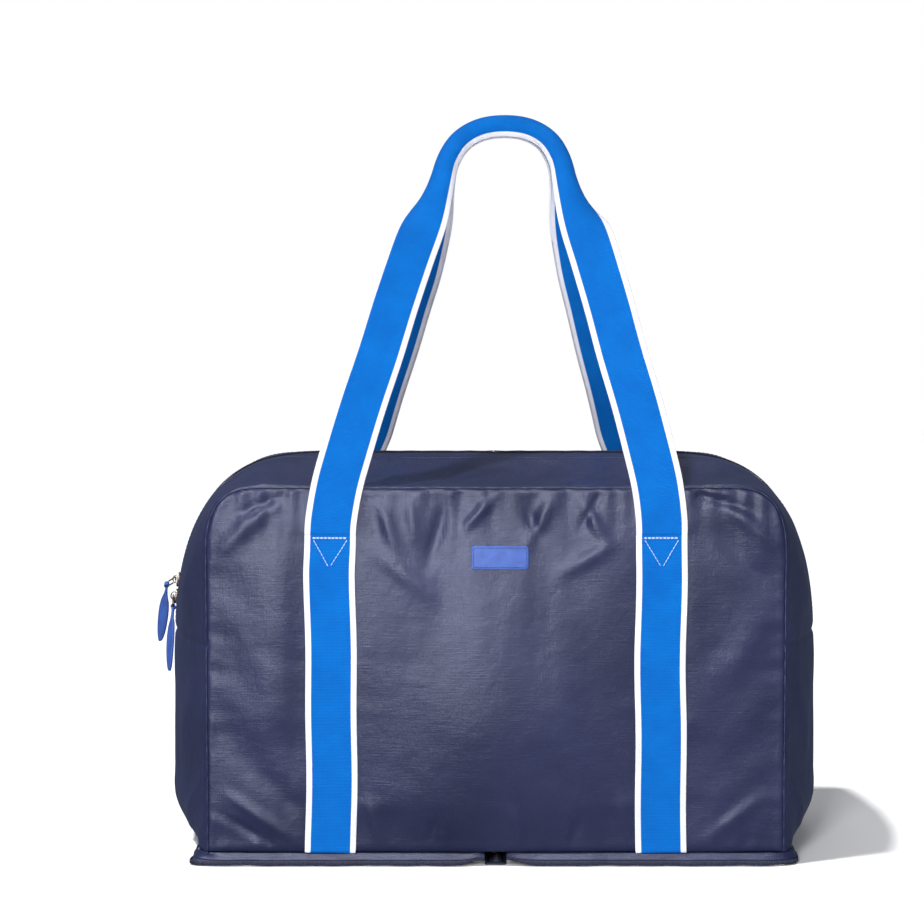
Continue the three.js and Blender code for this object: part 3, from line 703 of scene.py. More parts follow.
def dress_strip(grid):
    along, across = strip_lengths(grid)
    total = across[:, -1:]
    near = np.minimum(across, total - across)
    front = across < total / 2
    lift = pucker(along, near, 18, 0.6, 11, 31) * front + pucker(along, near, 17, 0.6, 11, 32) * ~front
    z = grid[..., 2]
    to_foot = np.where(np.abs(grid[..., 0]) > 205, z - BASE_SEAM_Z, 200.0)
    lift += pucker(across, np.maximum(to_foot, 0), 15, 0.7, 11, 33)
    side = np.abs(grid[..., 0]) > 200
    from_seam = np.abs(z - SIDE_SEAM_Z)
    lift += pucker(across + 80, from_seam, 21, 0.4, 9, 34) * side
    y = grid[..., 1]
    for start, end, width, height in SIDE_FOLDS:
        lift += fold(y, z, start, end, width, height, 0.2) * side
    for start, end, width, height in TOP_FOLDS:
        over = fold(grid[..., 0], np.abs(y), start, end, width, height, 0.2)
        lift += np.where(y < 0, over, 0.8 * np.roll(over, 14, axis=0)) * ~side
    calm = smooth((np.abs(y) - BAND_EDGE) / 9)
    calm = np.where(z < SIDE_SEAM_Z, np.where(side, 1.0, calm), calm)
    lift *= calm * smooth(near / 5) * np.where(side, smooth(to_foot / 4), 1.0)
    normal = outward(grid)
    blend = np.exp(-near / 4.0)[..., None]
    outline = normal.copy()
    outline[..., 1] = np.sign(y)
    direction = unit(normal * (1 - blend) + unit(outline) * blend)
    tuck = seam_tuck(near)
    tuck += np.where(side, -1.3 * np.exp(-(from_seam / 2.2) ** 2), 0.0)
    return grid + direction * (lift + tuck)[..., None], np.stack([along, across], axis=-1)


# ---- Threads, teeth and plates ----
def rings_round(middle, side, other, radius, sides):
    """A ring of points round each middle, in the plane of its `side` and `other` directions."""
    turn = 2 * np.pi * np.arange(sides) / sides
    return middle[:, None] + radius * (side[:, None] * np.cos(turn)[None, :, None]
                                       + other[:, None] * np.sin(turn)[None, :, None])


def ring_faces(rings, count, closed=False):
    """The faces between rings of `count` points each. If closed, the last ring is joined to the first."""
    return [[r * count + k, r * count + (k + 1) % count, (r + 1) % rings * count + (k + 1) % count,
             (r + 1) % rings * count + k] for r in range(rings - (not closed)) for k in range(count)]


def capsules(starts, ends, radius, sides=6):
    """Points and faces of many short rounded rods."""
    starts, ends = np.asarray(starts, float), np.asarray(ends, float)
    along = unit(ends - starts)
    side = np.cross(along, [[0.31, 0.17, 0.93]])
    side = unit(side - np.sum(side * along, axis=1, keepdims=True) * along)
    other = np.cross(along, side)
    rings = [rings_round(centre + along * forward * radius, side, other, share * radius, sides)
             for centre, forward, share in ((starts, -0.55, 0.6), (starts, 0.3, 1.0),
                                            (ends, -0.3, 1.0), (ends, 0.55, 0.6))]
    tips = (starts - along * radius)[:, None], (ends + along * radius)[:, None]
    points = np.concatenate([tips[0], *rings, tips[1]], axis=1)
    each = 4 * sides + 2
    faces = []
    for k in range(sides):
        n = (k + 1) % sides
        faces.append([0, 1 + n, 1 + k])
        for a in (1, 1 + sides, 1 + 2 * sides):
            faces.append([a + k, a + n, a + sides + n, a + sides + k])
        faces.append([each - 1, 1 + 3 * sides + k, 1 + 3 * sides + n])
    every = [[base * each + v for v in face] for base in range(len(starts)) for face in faces]
    return points.reshape(-1, 3), every


def stitches_along(path, normal, length, gap, radius):
    """The starts and ends of stitches laid along a path, a little sunk into what they sew."""
    path, normal = np.asarray(path, float), np.asarray(normal, float)
    s = distances(path)
    begin = np.arange(0.4, s[-1] - length, length + gap)
    return [sample(path, s, where) + unit(sample(normal, s, where)) * radius * 0.5
            for where in (begin, begin + length)]


def rounded_rectangle(width, high, corner, steps=6):
    outline = []
    for cx, cy, start in ((1, 1, 0), (-1, 1, 90), (-1, -1, 180), (1, -1, 270)):
        for k in range(steps + 1):
            a = math.radians(start + 90 * k / steps)
            outline.append((cx * (width / 2 - corner) + corner * math.cos(a),
                            cy * (high / 2 - corner) + corner * math.sin(a)))
    return np.array(outline)


def inset(outline, by):
    """The outline moved inwards along its normals."""
    forward = np.roll(outline, -1, axis=0) - np.roll(outline, 1, axis=0)
    return outline + unit(np.stack([-forward[:, 1], forward[:, 0]], axis=1)) * by


def plate(outline, thick, bevel=0.35, crown=0.0, groove=None):
    """A flat piece with rounded edges. Points are (x, y, height) with the face towards +height."""
    rings = [(bevel, 0.0), (0.0, bevel), (0.0, thick - bevel), (bevel * 0.3, thick - bevel * 0.3),
             (bevel, thick)]
    if groove is not None:
        rings += [(groove - 0.55, thick), (groove, thick - 0.28), (groove + 0.55, thick + crown * 0.4)]
    else:
        rings += [(bevel + 1.2, thick + crown * 0.5)]
    count = len(outline)
    flats = [(inset(outline, by), high) for by, high in rings]
    last = flats[-1][0]
    middle = last.mean(axis=0)
    flats += [(middle + (last - middle) * share, thick + crown) for share in (0.66, 0.33)]
    points = [np.concatenate([flat, np.full((count, 1), high)], axis=1) for flat, high in flats]
    faces = ring_faces(len(points), count)
    faces.append([(len(points) - 1) * count + k for k in range(count)])
    faces.append(list(range(count))[::-1])
    return np.concatenate(points), faces


# ---- The shell ----
FINE = 4
shell = Shell()
cloth = simulate(shell)
strip = refine(cloth[shell.strip], FINE)
strip_cut = refine(shell.points[shell.strip], FINE)      # as cut, before it is filled and gathered
strip, strip_flat = dress_strip(strip)
panels = {}
for facing, index in ((-1, shell.front), (1, shell.back)):
    panels[facing] = dress_panel(refine(cloth[index], FINE), facing)


def finish_piece(obj, body, nodes=()):
    if body is not None:
        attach(obj, body)
    if nodes:
        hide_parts(*nodes)
    return obj


for facing, word in HALVES:
    grid = panels[facing]
    away = grid_normals(grid)
    away *= np.where(away[..., 1:2] * facing < 0, -1.0, 1.0)
    obj = cloth_grid(f"{word}_panel_cloth", grid, grid[..., [0, 2]], NYLON, normal=away)
    finish_piece(obj, "body", [f"{word}_panel"])
    cut = refine(shell.points[shell.front if facing < 0 else shell.back], FINE)

ROW_A, ROW_B, ROW_C = LOW_ROWS * FINE, (SIDE_ROWS + CORNER_COLUMNS) * FINE, OUTLINE * FINE
MIDDLE_ROW = ROW_C // 2
LAST = (DEPTH_COLUMNS - 1) * FINE
TAPE_COLUMN = TAPE_AT * FINE
COIL_COLUMN = (TAPE_AT + 2) * FINE
strip_out = outward(strip)


def welt(name, path, radius=0.75, sides=8):
    """The folded edge of a seam, as a fine rounded ridge."""
    along = unit(np.gradient(path, axis=0))
    side = unit(np.cross(along, (0.0, 1.0, 0.0)))
    s = distances(path)
    swell = radius * (1 + 0.22 * np.sin(s / 1.9) + 0.15 * np.sin(s / 5.3))
    rings = rings_round(path, side, np.cross(along, side), swell[:, None, None], sides)
    faces = ring_faces(len(path), sides)
    faces += [list(range(sides))[::-1], [(len(path) - 1) * sides + i for i in range(sides)]]
    turn = 2 * np.pi * np.arange(sides) / sides
    flat = np.stack([np.broadcast_to(turn * radius, rings.shape[:2]),
                     np.broadcast_to(s[:, None], rings.shape[:2])], axis=-1)
    return finish_piece(mesh_object(name, rings, faces, NYLON, flat), "body")


welt("front_seam_welt", strip[:, 0] + (0.0, -1.0, 0.0))
welt("back_seam_welt", strip[:, -1] + (0.0, 1.0, 0.0))


def strip_piece(name, rows, columns, slot, body, nodes):
    """A piece of the strip: cloth, or zip tape, which lies a little below it."""
    pick = np.s_[rows[0]:rows[1] + 1, columns[0]:columns[1] + 1]
    tape = slot == "zip_tape"
    grid = strip[pick] + strip_out[pick] * (-0.7 if tape else 0.0)
    obj = cloth_grid(name, grid, strip_flat[pick][..., ::-1], TAPE if tape else NYLON, strip_out[pick],
                     0.6 if tape else CLOTH_THICK)
    finish_piece(obj, body, nodes)
    return obj


def blend_flap(obj):
    """Bakes the piece's placement into its mesh."""
    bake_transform(obj)


SIDES = (("left", (0, ROW_A), (ROW_A, ROW_B)),
         ("right", (ROW_C - ROW_A, ROW_C), (ROW_C - ROW_B, ROW_C - ROW_A)))
TOP_SIDES = (("left", (ROW_B, MIDDLE_ROW), -1), ("right", (MIDDLE_ROW, ROW_C - ROW_B), 1))
STRIP_HALVES = (("front", (0, TAPE_COLUMN), (TAPE_COLUMN, COIL_COLUMN)),
                ("back", (LAST - TAPE_COLUMN, LAST), (LAST - COIL_COLUMN, LAST - TAPE_COLUMN)))
for word, low_rows, corner_rows in SIDES:
    strip_piece(f"{word}_side_panel_cloth", low_rows, (0, LAST), "shell_fabric", "body",
                [f"{word}_side_panel"])
    for half, band, tape in STRIP_HALVES:
        strip_piece(f"{half}_band_{word}_cloth", corner_rows, band, "shell_fabric", "body",
                    [f"{half}_band_{word}"])
        strip_piece(f"{half}_tape_{word}_cloth", corner_rows, tape, "zip_tape", "body",
                    [f"{half}_tape_{word}"])
for half, band, tape in STRIP_HALVES:
    for word, rows, side in TOP_SIDES:
        flap = strip_piece(f"{half}_flap_{word}_cloth", rows, band, "shell_fabric", None,
                           [f"{half}_flap"])
        blend_flap(flap)
        edge = strip_piece(f"{half}_tape_top_{word}_cloth", rows, tape, "zip_tape", None,
                           [f"{half}_tape_top"])
        blend_flap(edge)


# ---- The coil zip of the mouth: interlocking loops on each side of the middle line ----
TOOTH_PITCH = 1.7


def coil_teeth(rows, halves):
    """Loops of the zip between two rows of the strip. `halves` holds -1 for the front's, 1 for the back's."""
    pick = np.s_[rows[0]:rows[1] + 1, (DEPTH_COLUMNS - 1) // 2 * FINE]
    line, normal = strip[pick], strip_out[pick]
    s = distances(line)
    parts = []
    for half in halves:
        where = np.arange(0.3 + (0.5 * TOOTH_PITCH if half > 0 else 0), s[-1] - 0.3, TOOTH_PITCH)
        p, n = sample(line, s, where), unit(sample(normal, s, where))
        y = np.array([0.0, half, 0.0])
        tip, root = p - y * 0.5 + n * 0.35, p + y * 3.1 + n * 0.15
        parts.append(capsules(tip, root, 0.52))
        parts.append(capsules(tip - n * 0.9, root - n * 0.9, 0.4, sides=4))
    return parts


for word, _, corner_rows in SIDES:
    obj = join_meshes(f"{word}_coil_teeth", coil_teeth(corner_rows, (-1, 1)), COIL)
    finish_piece(obj, "body", [f"{word}_coil"])
for sign, half in HALVES:
    for word, rows, side in TOP_SIDES:
        obj = join_meshes(f"{half}_coil_top_{word}_teeth", coil_teeth(rows, (sign,)), COIL)
        finish_piece(obj, None, [f"{half}_coil_top"])
        blend_flap(obj)


# ---- Straps and handles ----
def tree_of(grid):
    rows, columns = grid.shape[:2]
    return BVHTree.FromPolygons([Vector(p) for p in grid.reshape(-1, 3)], grid_faces(rows, columns))


PANEL_TREES = {facing: tree_of(grid) for facing, grid in panels.items()}


def panel_depth(facing, x, z):
    """How far from the middle of the bag the dressed panel is at a place."""
    z = min(max(z, BASE_SEAM_Z + 0.3), FRONT_RIM["top"] - 0.5)
    hit = PANEL_TREES[facing].ray_cast(Vector((x, facing * 400, z)), Vector((0, -facing, 0)))[0]
    return abs(hit.y) if hit else float(panel_y(x, z))


def soften(values, reach):
    """A running mean along the first axis, with the ends kept."""
    out = values.copy()
    for k in range(len(values)):
        r = min(reach, k, len(values) - 1 - k)
        out[k] = values[k - r:k + r + 1].mean(axis=0)
    return out


def ribbon(name, grid, flat, out):
    """Webbing: `grid` is its outer face, rows along it and columns across. `out` is a sample normal."""
    normal = grid_normals(grid)
    facing = np.sum(normal[len(normal) // 8, normal.shape[1] // 2] * out)
    obj = mesh_object(name, grid, grid_faces(*grid.shape[:2], facing < 0), WEBBING, flat)
    return thicken(obj, STRAP_THICK)


ACROSS = np.concatenate([[-19, -18.8, -18.3], np.linspace(-17, 17, 15), [18.3, 18.8, 19]])
EDGE_DROP = np.where(np.abs(ACROSS) > 18.9, 0.42, np.where(np.abs(ACROSS) > 18.5, 0.15, 0.0))


def strap_grid(facing, side):
    rows = np.linspace(BASE_SEAM_Z + 0.4, STITCH_Z + 1.0, 95)
    depth = np.array([[panel_depth(facing, side * STRAP_X + x, z) for x in ACROSS] for z in rows])
    top = np.maximum(depth, soften(depth, 4) + 0.1)
    top = soften(np.maximum(top, np.roll(top, 1, axis=0)), 2)
    across = soften(top.T.copy(), 2).T
    top = np.maximum(across, depth - 0.4) + STRAP_THICK - EDGE_DROP
    grid = np.zeros(top.shape + (3,))
    wander = 0.6 * np.sin(rows / 41 + side) + 0.4 * np.sin(rows / 17 + 2 * side)
    grid[..., 0] = side * STRAP_X + ACROSS + wander[:, None] * smooth((STITCH_Z - rows) / 30)[:, None]
    grid[..., 1] = facing * top
    grid[..., 2] = rows[:, None]
    return grid


strap_grids = {}
for facing, half in HALVES:
    for side, word in ENDS:
        grid = strap_grid(facing, side)
        strap_grids[facing, side] = grid
        flat = np.stack([np.broadcast_to(ACROSS, grid.shape[:2]), grid[..., 2]], axis=-1)
        obj = ribbon(f"{half}_strap_{word}_webbing", grid, flat, (0, facing, 0))
        finish_piece(obj, "body", [f"{half}_strap_{word}"])


def handle_depth(z):
    on_fabric = panel_y(STRAP_X - STRAP_WIDTH / 2, np.minimum(z, FRONT_RIM["top"])) + 1.05 + STRAP_THICK
    lean = (on_fabric - HANDLE_FROM_MIDDLE) / (HANDLE_TOP - LEAN_FROM_Z)
    return on_fabric - lean * np.maximum(z - LEAN_FROM_Z, 0)


def centripetal(points, per_span=24):
    """A centripetal Catmull-Rom curve through the points, sampled evenly along its length."""
    points = np.asarray(points, float)
    points = np.concatenate([2 * points[:1] - points[1:2], points, 2 * points[-1:] - points[-2:-1]])
    out = []
    for k in range(1, len(points) - 2):
        p0, p1, p2, p3 = points[k - 1:k + 3]
        d0, d1, d2 = (math.sqrt(np.linalg.norm(b - a)) for a, b in ((p0, p1), (p1, p2), (p2, p3)))
        m1 = ((p1 - p0) / d0 - (p2 - p0) / (d0 + d1) + (p2 - p1) / d1) * d1
        m2 = ((p2 - p1) / d1 - (p3 - p1) / (d1 + d2) + (p3 - p2) / d2) * d1
        for t in np.arange(per_span) / per_span:
            out.append(p1 * (1 + t * t * (2 * t - 3)) + m1 * (t - 2 * t * t + t ** 3)
                       + p2 * t * t * (3 - 2 * t) + m2 * (t ** 3 - t * t))
    out.append(points[-2])
    return np.array(out)


def handle_grid(facing):
    def point(z, half):
        return (half + HANDLE_SWAY * (z - STITCH_Z) / (HANDLE_TOP - STITCH_Z), facing * handle_depth(z), z)
    left = [point(z, -half) for z, half in HANDLE_LEG]
    right = [point(z, half) for z, half in HANDLE_LEG][::-1]
    fine = centripetal(left + [point(HANDLE_TOP, 0)] + right)
    s = distances(fine)
    where = np.linspace(0, s[-1], 330)
    middle = soften(sample(fine, s, where), 2)
    if facing > 0:
        slack = smooth((middle[:, 2] - 255) / 60) * (1 - smooth((middle[:, 2] - 430) / 90))
        middle[:, 0] -= np.sign(middle[:, 0]) * BACK_LEG_SLACK * slack
    along = unit(np.gradient(middle, axis=0))
    lean = math.atan2(handle_depth(300) - handle_depth(500), 200)
    back = np.array([0, -facing * math.cos(lean), -math.sin(lean)])
    grip = smooth((middle[:, 2] - GRIP_START) / GRIP_RUN)[:, None]

    def across_of(v):
        return unit(v - np.sum(v * along, axis=1, keepdims=True) * along)
    leg = across_of(np.tile([0.0, facing, 0.0], (len(middle), 1)))
    arch = unit(np.cross(np.tile(back, (len(middle), 1)), along) * -facing)
    arch *= np.where(arch[:, 2:3] < 0, -1.0, 1.0)
    turn = GRIP_TURN * grip
    face = across_of(leg * np.cos(turn) + arch * np.sin(turn))
    across = unit(np.cross(along, face))
    angle = np.maximum(GRIP_ROLL * grip, 1e-3)
    radius = STRAP_WIDTH / angle
    a = ACROSS[None, :] / STRAP_WIDTH * angle
    grid = (middle[:, None] + across[:, None] * (radius * np.sin(a))[..., None]
            - face[:, None] * (radius * (1 - np.cos(a)) + EDGE_DROP)[..., None])
    # Small slack waves where the webbing leaves the bag and below the grip.
    wave = 0.5 * np.sin(where / 23 + facing) + 0.35 * np.sin(where / 11.0)
    free = smooth((middle[:, 2] - 300) / 40) * (1 - grip[:, 0])
    grid += face[:, None] * (wave * free)[:, None, None]
    flat = np.stack([np.broadcast_to(ACROSS, grid.shape[:2]),
                     np.broadcast_to(where[:, None] + 247, grid.shape[:2])], axis=-1)
    return grid, flat, face


for facing, half in HALVES:
    grid, flat, face = handle_grid(facing)
    for row, side in ((0, -1), (-1, 1)):
        rows = range(0, 14) if row == 0 else range(len(grid) - 14, len(grid))
        sewn = strap_grids[facing, side][-1]
        order = sewn if np.sign(grid[row, -1, 0] - grid[row, 0, 0]) > 0 else sewn[::-1]
        gap = order - grid[row]
        for k in rows:
            step = k if row == 0 else len(grid) - 1 - k
            grid[k] += gap * (1 - smooth(step / 13))
    obj = ribbon(f"{half}_handle_webbing", grid, flat, face[len(face) // 8])
    finish_piece(obj, None, [f"{half}_handle"])
    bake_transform(obj)


# ---- Stitching ----
def on_strap(facing, side, x, z):
    """A point on the strap's outer face, `x` from its middle."""
    grid = strap_grids[facing, side]
    row = np.interp(z, grid[:, 10, 2], np.arange(len(grid)))
    low = int(min(row, len(grid) - 2))
    share = row - low
    line = grid[low] * (1 - share) + grid[low + 1] * share
    return np.array([np.interp(x, ACROSS, line[:, 0]), np.interp(x, ACROSS, line[:, 1]), z])


for facing, half in HALVES:
    for side, word in ENDS:
        out = np.array([0.0, facing, 0.0])
        bars = [((-13.2, STITCH_Z - drop), (13.2, STITCH_Z - drop)) for drop in (0.4, 1.1)]
        legs = [((x, STITCH_Z - 2.2), (0.0, STITCH_Z - STITCH_DROP)) for x in (-12.4, 12.4)]
        paths = [([on_strap(facing, side, lerp(x0, x1, t), lerp(z0, z1, t)) for t in np.linspace(0, 1, 30)],
                  1.9, 0.27) for (x0, z0), (x1, z1) in bars + legs]
        heights = np.linspace(BASE_SEAM_Z + 2, STITCH_Z, 160)
        paths += [([on_strap(facing, side, x, z) for z in heights], 2.4, 0.24) for x in (-16.6, 16.6)]
        sewn = [stitches_along(path, [out] * len(path), length, 0.9, radius) for path, length, radius in paths]
        parts = [capsules(*(np.concatenate(ends) for ends in zip(*sewn)), 0.21)]
        obj = join_meshes(f"{half}_strap_{word}_thread", parts, WHITE_THREAD)
        finish_piece(obj, "body", [f"{half}_stitches_{word}"])


def seam_thread(name, rows, column, body):
    pick = slice(rows[0], rows[1] + 1)
    starts, ends = stitches_along(strip[pick, column], strip_out[pick, column], 2.5, 1.0, 0.24)
    obj = join_meshes(name, [capsules(starts, ends, 0.24, sides=5)], NAVY_THREAD)
    return finish_piece(obj, body)


for half, column in (("front", TAPE_COLUMN - 3), ("back", LAST - TAPE_COLUMN + 3)):
    for word, _, rows in SIDES:
        seam_thread(f"{half}_band_{word}_thread", rows, column, "body")
    for word, rows, side in TOP_SIDES:
        blend_flap(seam_thread(f"{half}_flap_{word}_thread", rows, column, None))


# ---- The base: the opened pouch, with its zipped skirt ----
GUSSET_FOOT_Z, FLOOR_GAP, SKIRT_OUT, FLARE, NOTCH = 4.3, 0.8, 1.7, 2.5, 22.0
DISH, COVER = 45.0, 1.6
SKIRT_STEPS, SKIRT_RIPPLE = 520, 0.35


def cover_grid(side):
    rows = []
    for w in np.linspace(0, 1, 61):
        y = (2 * w - 1) * (BASE_Y - 0.4)
        outer = float(base_half_width(y))
        x = lerp(SPINE + 0.4, outer, np.linspace(0, 1, 56))
        reach = np.minimum(outer - x, BASE_Y - abs(y))
        z = RIM_Z * (1 - smooth(reach / DISH))
        wave = 0.35 * (np.sin(x / 9 + y / 31) + np.sin(y / 13 - x / 37)) * smooth(reach / 12) * (z > 0.5)
        rows.append(np.stack([side * x, np.full_like(x, y), z + wave], axis=1))
    return np.array(rows)


for side, word in ENDS:
    grid = cover_grid(side)
    grid[..., 2] += 1.2
    obj = mesh_object(f"base_{word}_cloth", grid, grid_faces(*grid.shape[:2], side < 0), NYLON,
                      grid[..., [0, 1]])
    thicken(obj, 1.0)
    finish_piece(obj, "body", [f"base_{word}"])

outline = rounded_rectangle(2 * SPINE, 2 * (BASE_Y - 2), 2, 4)
points, faces = plate(outline, COVER, 0.3, 0.0, 2.2)
spine = mesh_object("base_spine_cloth", points, faces, TAPE, points[:, :2])
finish_piece(spine, "body", ["base_spine"])


def skirt_outline(grow):
    """Half of the base's outline on the +X side, from the spine at the front round to the back."""
    r = BASE_R + grow
    corner = [(BASE_X - BASE_R + r * math.sin(a), -(BASE_Y - BASE_R) - r * math.cos(a))
              for a in np.linspace(0, math.pi / 2, 40)]
    front = [(SPINE, -(BASE_Y + grow))] + corner
    path = np.array(front + [(x, -y) for x, y in front[::-1]])
    s = distances(path)
    where = np.linspace(0, s[-1], SKIRT_STEPS)
    return sample(path, s, where), where


def corner_ear(base, side):
    """The front left corner of the skirt is creased and sticks out."""
    strength = 1.0 if side < 0 else 0.35
    far = np.hypot(base[:, 0] - BASE_X, base[:, 1] + BASE_Y - 4)
    return strength * np.exp(-(far / 10) ** 2)


def skirt_grid(side, high, low, rows, out):
    result = []
    for z in lerp(high, low, np.linspace(0, 1, rows)):
        base, where = skirt_outline(SKIRT_OUT + out)
        far, _ = skirt_outline(SKIRT_OUT + out + 10)
        room = smooth((base[:, 0] - SPINE) / NOTCH)
        drop = (RIM_Z - z) / (RIM_Z - FLOOR_GAP)
        wave = np.sin(where / 7.3 + side) + 0.8 * np.sin(where / 4.1) + 0.9 * np.sin(where / 17.7)
        wave *= SKIRT_RIPPLE
        ear = corner_ear(base, side) * 6.5 * smooth(drop)
        grow = (FLARE * drop * room + wave * drop * room + ear) / 10
        place = base + (far - base) * grow[:, None]
        height = np.where(room < 1, lerp(RIM_Z - (RIM_Z - z) * 0.45, z, room), z)
        result.append(np.stack([side * place[:, 0], place[:, 1], height], axis=1))
    return np.array(result), where


def skirt_strip(name, node, side, high, low, rows, out, material, thick):
    """One strip round half of the base, from one height to another."""
    grid, where = skirt_grid(side, high, low, rows, out)
    flat = np.stack([np.broadcast_to(where, grid.shape[:2]), grid[..., 2]], axis=-1)
    obj = mesh_object(name, grid, grid_faces(*grid.shape[:2], side > 0), material, flat)
    thicken(obj, thick, 1.0)
    finish_piece(obj, "body", [node])
    return grid


for side, word in ENDS:
    skirt_strip(f"pouch_gusset_{word}_cloth", f"pouch_gusset_{word}", side, RIM_Z + 1.4, GUSSET_FOOT_Z, 7, 0.0,
                NYLON, 0.7)
    tape = skirt_strip(f"pouch_zip_{word}_tape", f"pouch_zip_{word}", side, GUSSET_FOOT_Z + 0.6,
                       FLOOR_GAP + 0.2, 6, -0.1, TAPE, 0.6)
    run = tape[-2]
    away = unit(np.cross(np.gradient(run, axis=0), (0, 0, side)))
    s = distances(run)
    at = np.arange(1, s[-1] - 1, 1.75)
    p, n = sample(run, s, at), sample(away, s, at)
    up = np.array([0, 0, 1.0])
    teeth = capsules(p + n * 0.55 - up * 0.15, p + n * 0.45 + up * 1.9, 0.55)
    obj = join_meshes(f"pouch_zip_{word}_teeth", [teeth], COIL)
    finish_piece(obj, "body")


# ---- Leather: the two labels and the three tabs ----
outline = rounded_rectangle(LABEL["width"], LABEL["high"], LABEL["corner"])


def label(name, thread_name, place, node):
    points, faces = plate(outline, LABEL["thick"], 0.35, 0.05)
    obj = mesh_object(name, [place(*p) for p in points], faces, LEATHER)
    finish_piece(obj, "body", [node])
    border = inset(outline, 1.5)
    border = np.concatenate([border, border[:1]])
    path = [place(x, y, LABEL["thick"]) for x, y in border]
    up = np.array(place(0, 0, LABEL["thick"] + 1)) - np.array(place(0, 0, LABEL["thick"]))
    starts, ends = stitches_along(path, [up] * len(path), 1.5, 0.7, 0.2)
    obj = join_meshes(thread_name, [capsules(starts, ends, 0.26, sides=5)], BLUE_THREAD)
    finish_piece(obj, "body")


def on_front(x, y, high):
    depth = [panel_depth(-1, LABEL["x"] + x + dx, LABEL["z"] + y + dz)
             for dx in (-6, 0, 6) for dz in (-5, 0, 5)]
    return (LABEL["x"] + x, -(sum(depth) / len(depth) + 0.5 + high), LABEL["z"] + y)


label("front_label_leather", "front_label_thread", on_front, "front_label")
label("pouch_label_leather", "pouch_label_thread",
      lambda x, y, high: (BASE_X / 2 + x, y, 1.95 + high), "pouch_label")

TAB = dict(length=52.0, width=13.0, neck=4.6, thick=2.0)
TAB_BOW = 0.9              # how far the middle of a leaf stands out
RING = dict(length=9.0, width=9.0, wire=1.2)
PIVOT_OUT = 2.4 / 2 + 0.8 + 1.4 + 1.5


def bezier(p0, p1, p2, p3, steps):
    t = np.linspace(0, 1, steps + 1)[1:, None]
    p0, p1, p2, p3 = (np.array(p, float) for p in (p0, p1, p2, p3))
    return ((1 - t) ** 3 * p0 + 3 * t * (1 - t) ** 2 * p1 + 3 * t * t * (1 - t) * p2 + t ** 3 * p3).tolist()


def leaf_outline():
    n, w, length = TAB["neck"] / 2, TAB["width"] / 2, TAB["length"]
    points = [(-n, -1.2), (-n, -3.5), (-n, -6)]
    points += bezier((-n, -6), (-n, -9), (-w, -14), (-w, -length * 0.52), 14)
    points += bezier((-w, -length * 0.52), (-w, -length * 0.75), (-w * 0.55, -length), (0, -length), 12)
    points += bezier((0, -length), (w * 0.55, -length), (w, -length * 0.75), (w, -length * 0.52), 12)
    points += bezier((w, -length * 0.52), (w, -14), (n, -9), (n, -6), 14)
    points += [(n, -3.5), (n, -1.2)]
    return np.array(points)


def twisted(points, angle):
    """The leaf turned about its length, by nothing at the eye and by `angle` from a third of the way down."""
    points = np.array(points, float)
    a = angle * smooth((-points[:, 2] - 2) / 14)
    x, y = points[:, 0].copy(), points[:, 1].copy()
    points[:, 0], points[:, 1] = x * np.cos(a) - y * np.sin(a), x * np.sin(a) + y * np.cos(a)
    return points


def kicked(part, kick):
    """The leaf bent outwards towards its tip."""
    points, faces = np.array(part[0], float), part[1]
    points[:, 0] += kick * np.clip(-points[:, 2] / TAB["length"], 0, 1) ** 1.4
    return points, faces


def bowed(points):
    """The leaf with its middle standing out."""
    points[:, 0] += TAB_BOW * np.sin(np.pi * np.clip(-points[:, 2] / TAB["length"], 0, 1))
    return points


def tab_parts(twist, kick):
    """The leather leaf and its eye and stitching, in the tab's own frame: (out, across, up)."""
    leaf = leaf_outline()
    points, faces = plate(leaf, TAB["thick"], 0.45)
    body = bowed(np.stack([points[:, 2] - TAB["thick"] / 2, points[:, 0], points[:, 1]], axis=1))
    ring = inset(leaf, 1.35)[3:-2]
    threads = []
    for face in (-1, 1):
        path = bowed(np.stack([np.full(len(ring), face * TAB["thick"] / 2), ring[:, 0], ring[:, 1]], axis=1))
        starts, ends = stitches_along(path, [(face, 0, 0)] * len(path), 1.3, 0.6, 0.19)
        threads.append(capsules(starts, ends, 0.19, sides=5))
    turns = np.linspace(0, 2 * np.pi, 21)[:-1]
    eye_rings = ((1.75, -2.3), (2.0, -2.0), (2.0, 2.0), (1.75, 2.3), (1.15, 2.3), (1.15, -2.3))
    eye = np.array([(r * math.cos(a), y, r * math.sin(a)) for r, y in eye_rings for a in turns])
    eye_faces = [face[:1] + face[:0:-1] for face in ring_faces(len(eye_rings), len(turns), True)]
    threads = [kicked((twisted(p, twist), f), kick) for p, f in threads]
    return kicked((twisted(body, twist), faces), kick), (eye, eye_faces), threads


def tube(path, radius, sides=10):
    """A closed loop of round wire."""
    along = unit(np.roll(path, -1, axis=0) - np.roll(path, 1, axis=0))
    centre = path.mean(axis=0)
    flat_normal = np.cross(path[0] - centre, path[len(path) // 4] - centre)
    flat_normal /= np.linalg.norm(flat_normal)
    rings = rings_round(path, np.cross(along, flat_normal), np.tile(flat_normal, (len(path), 1)), radius, sides)
    return rings.reshape(-1, 3), ring_faces(len(path), sides, True)


def ring_parts():
    path = rounded_rectangle(RING["width"] - RING["wire"], RING["length"], 2.2, 6)
    return tube(np.stack([np.zeros(len(path)), path[:, 0], path[:, 1] - RING["length"] / 2], axis=1),
                RING["wire"] / 2)


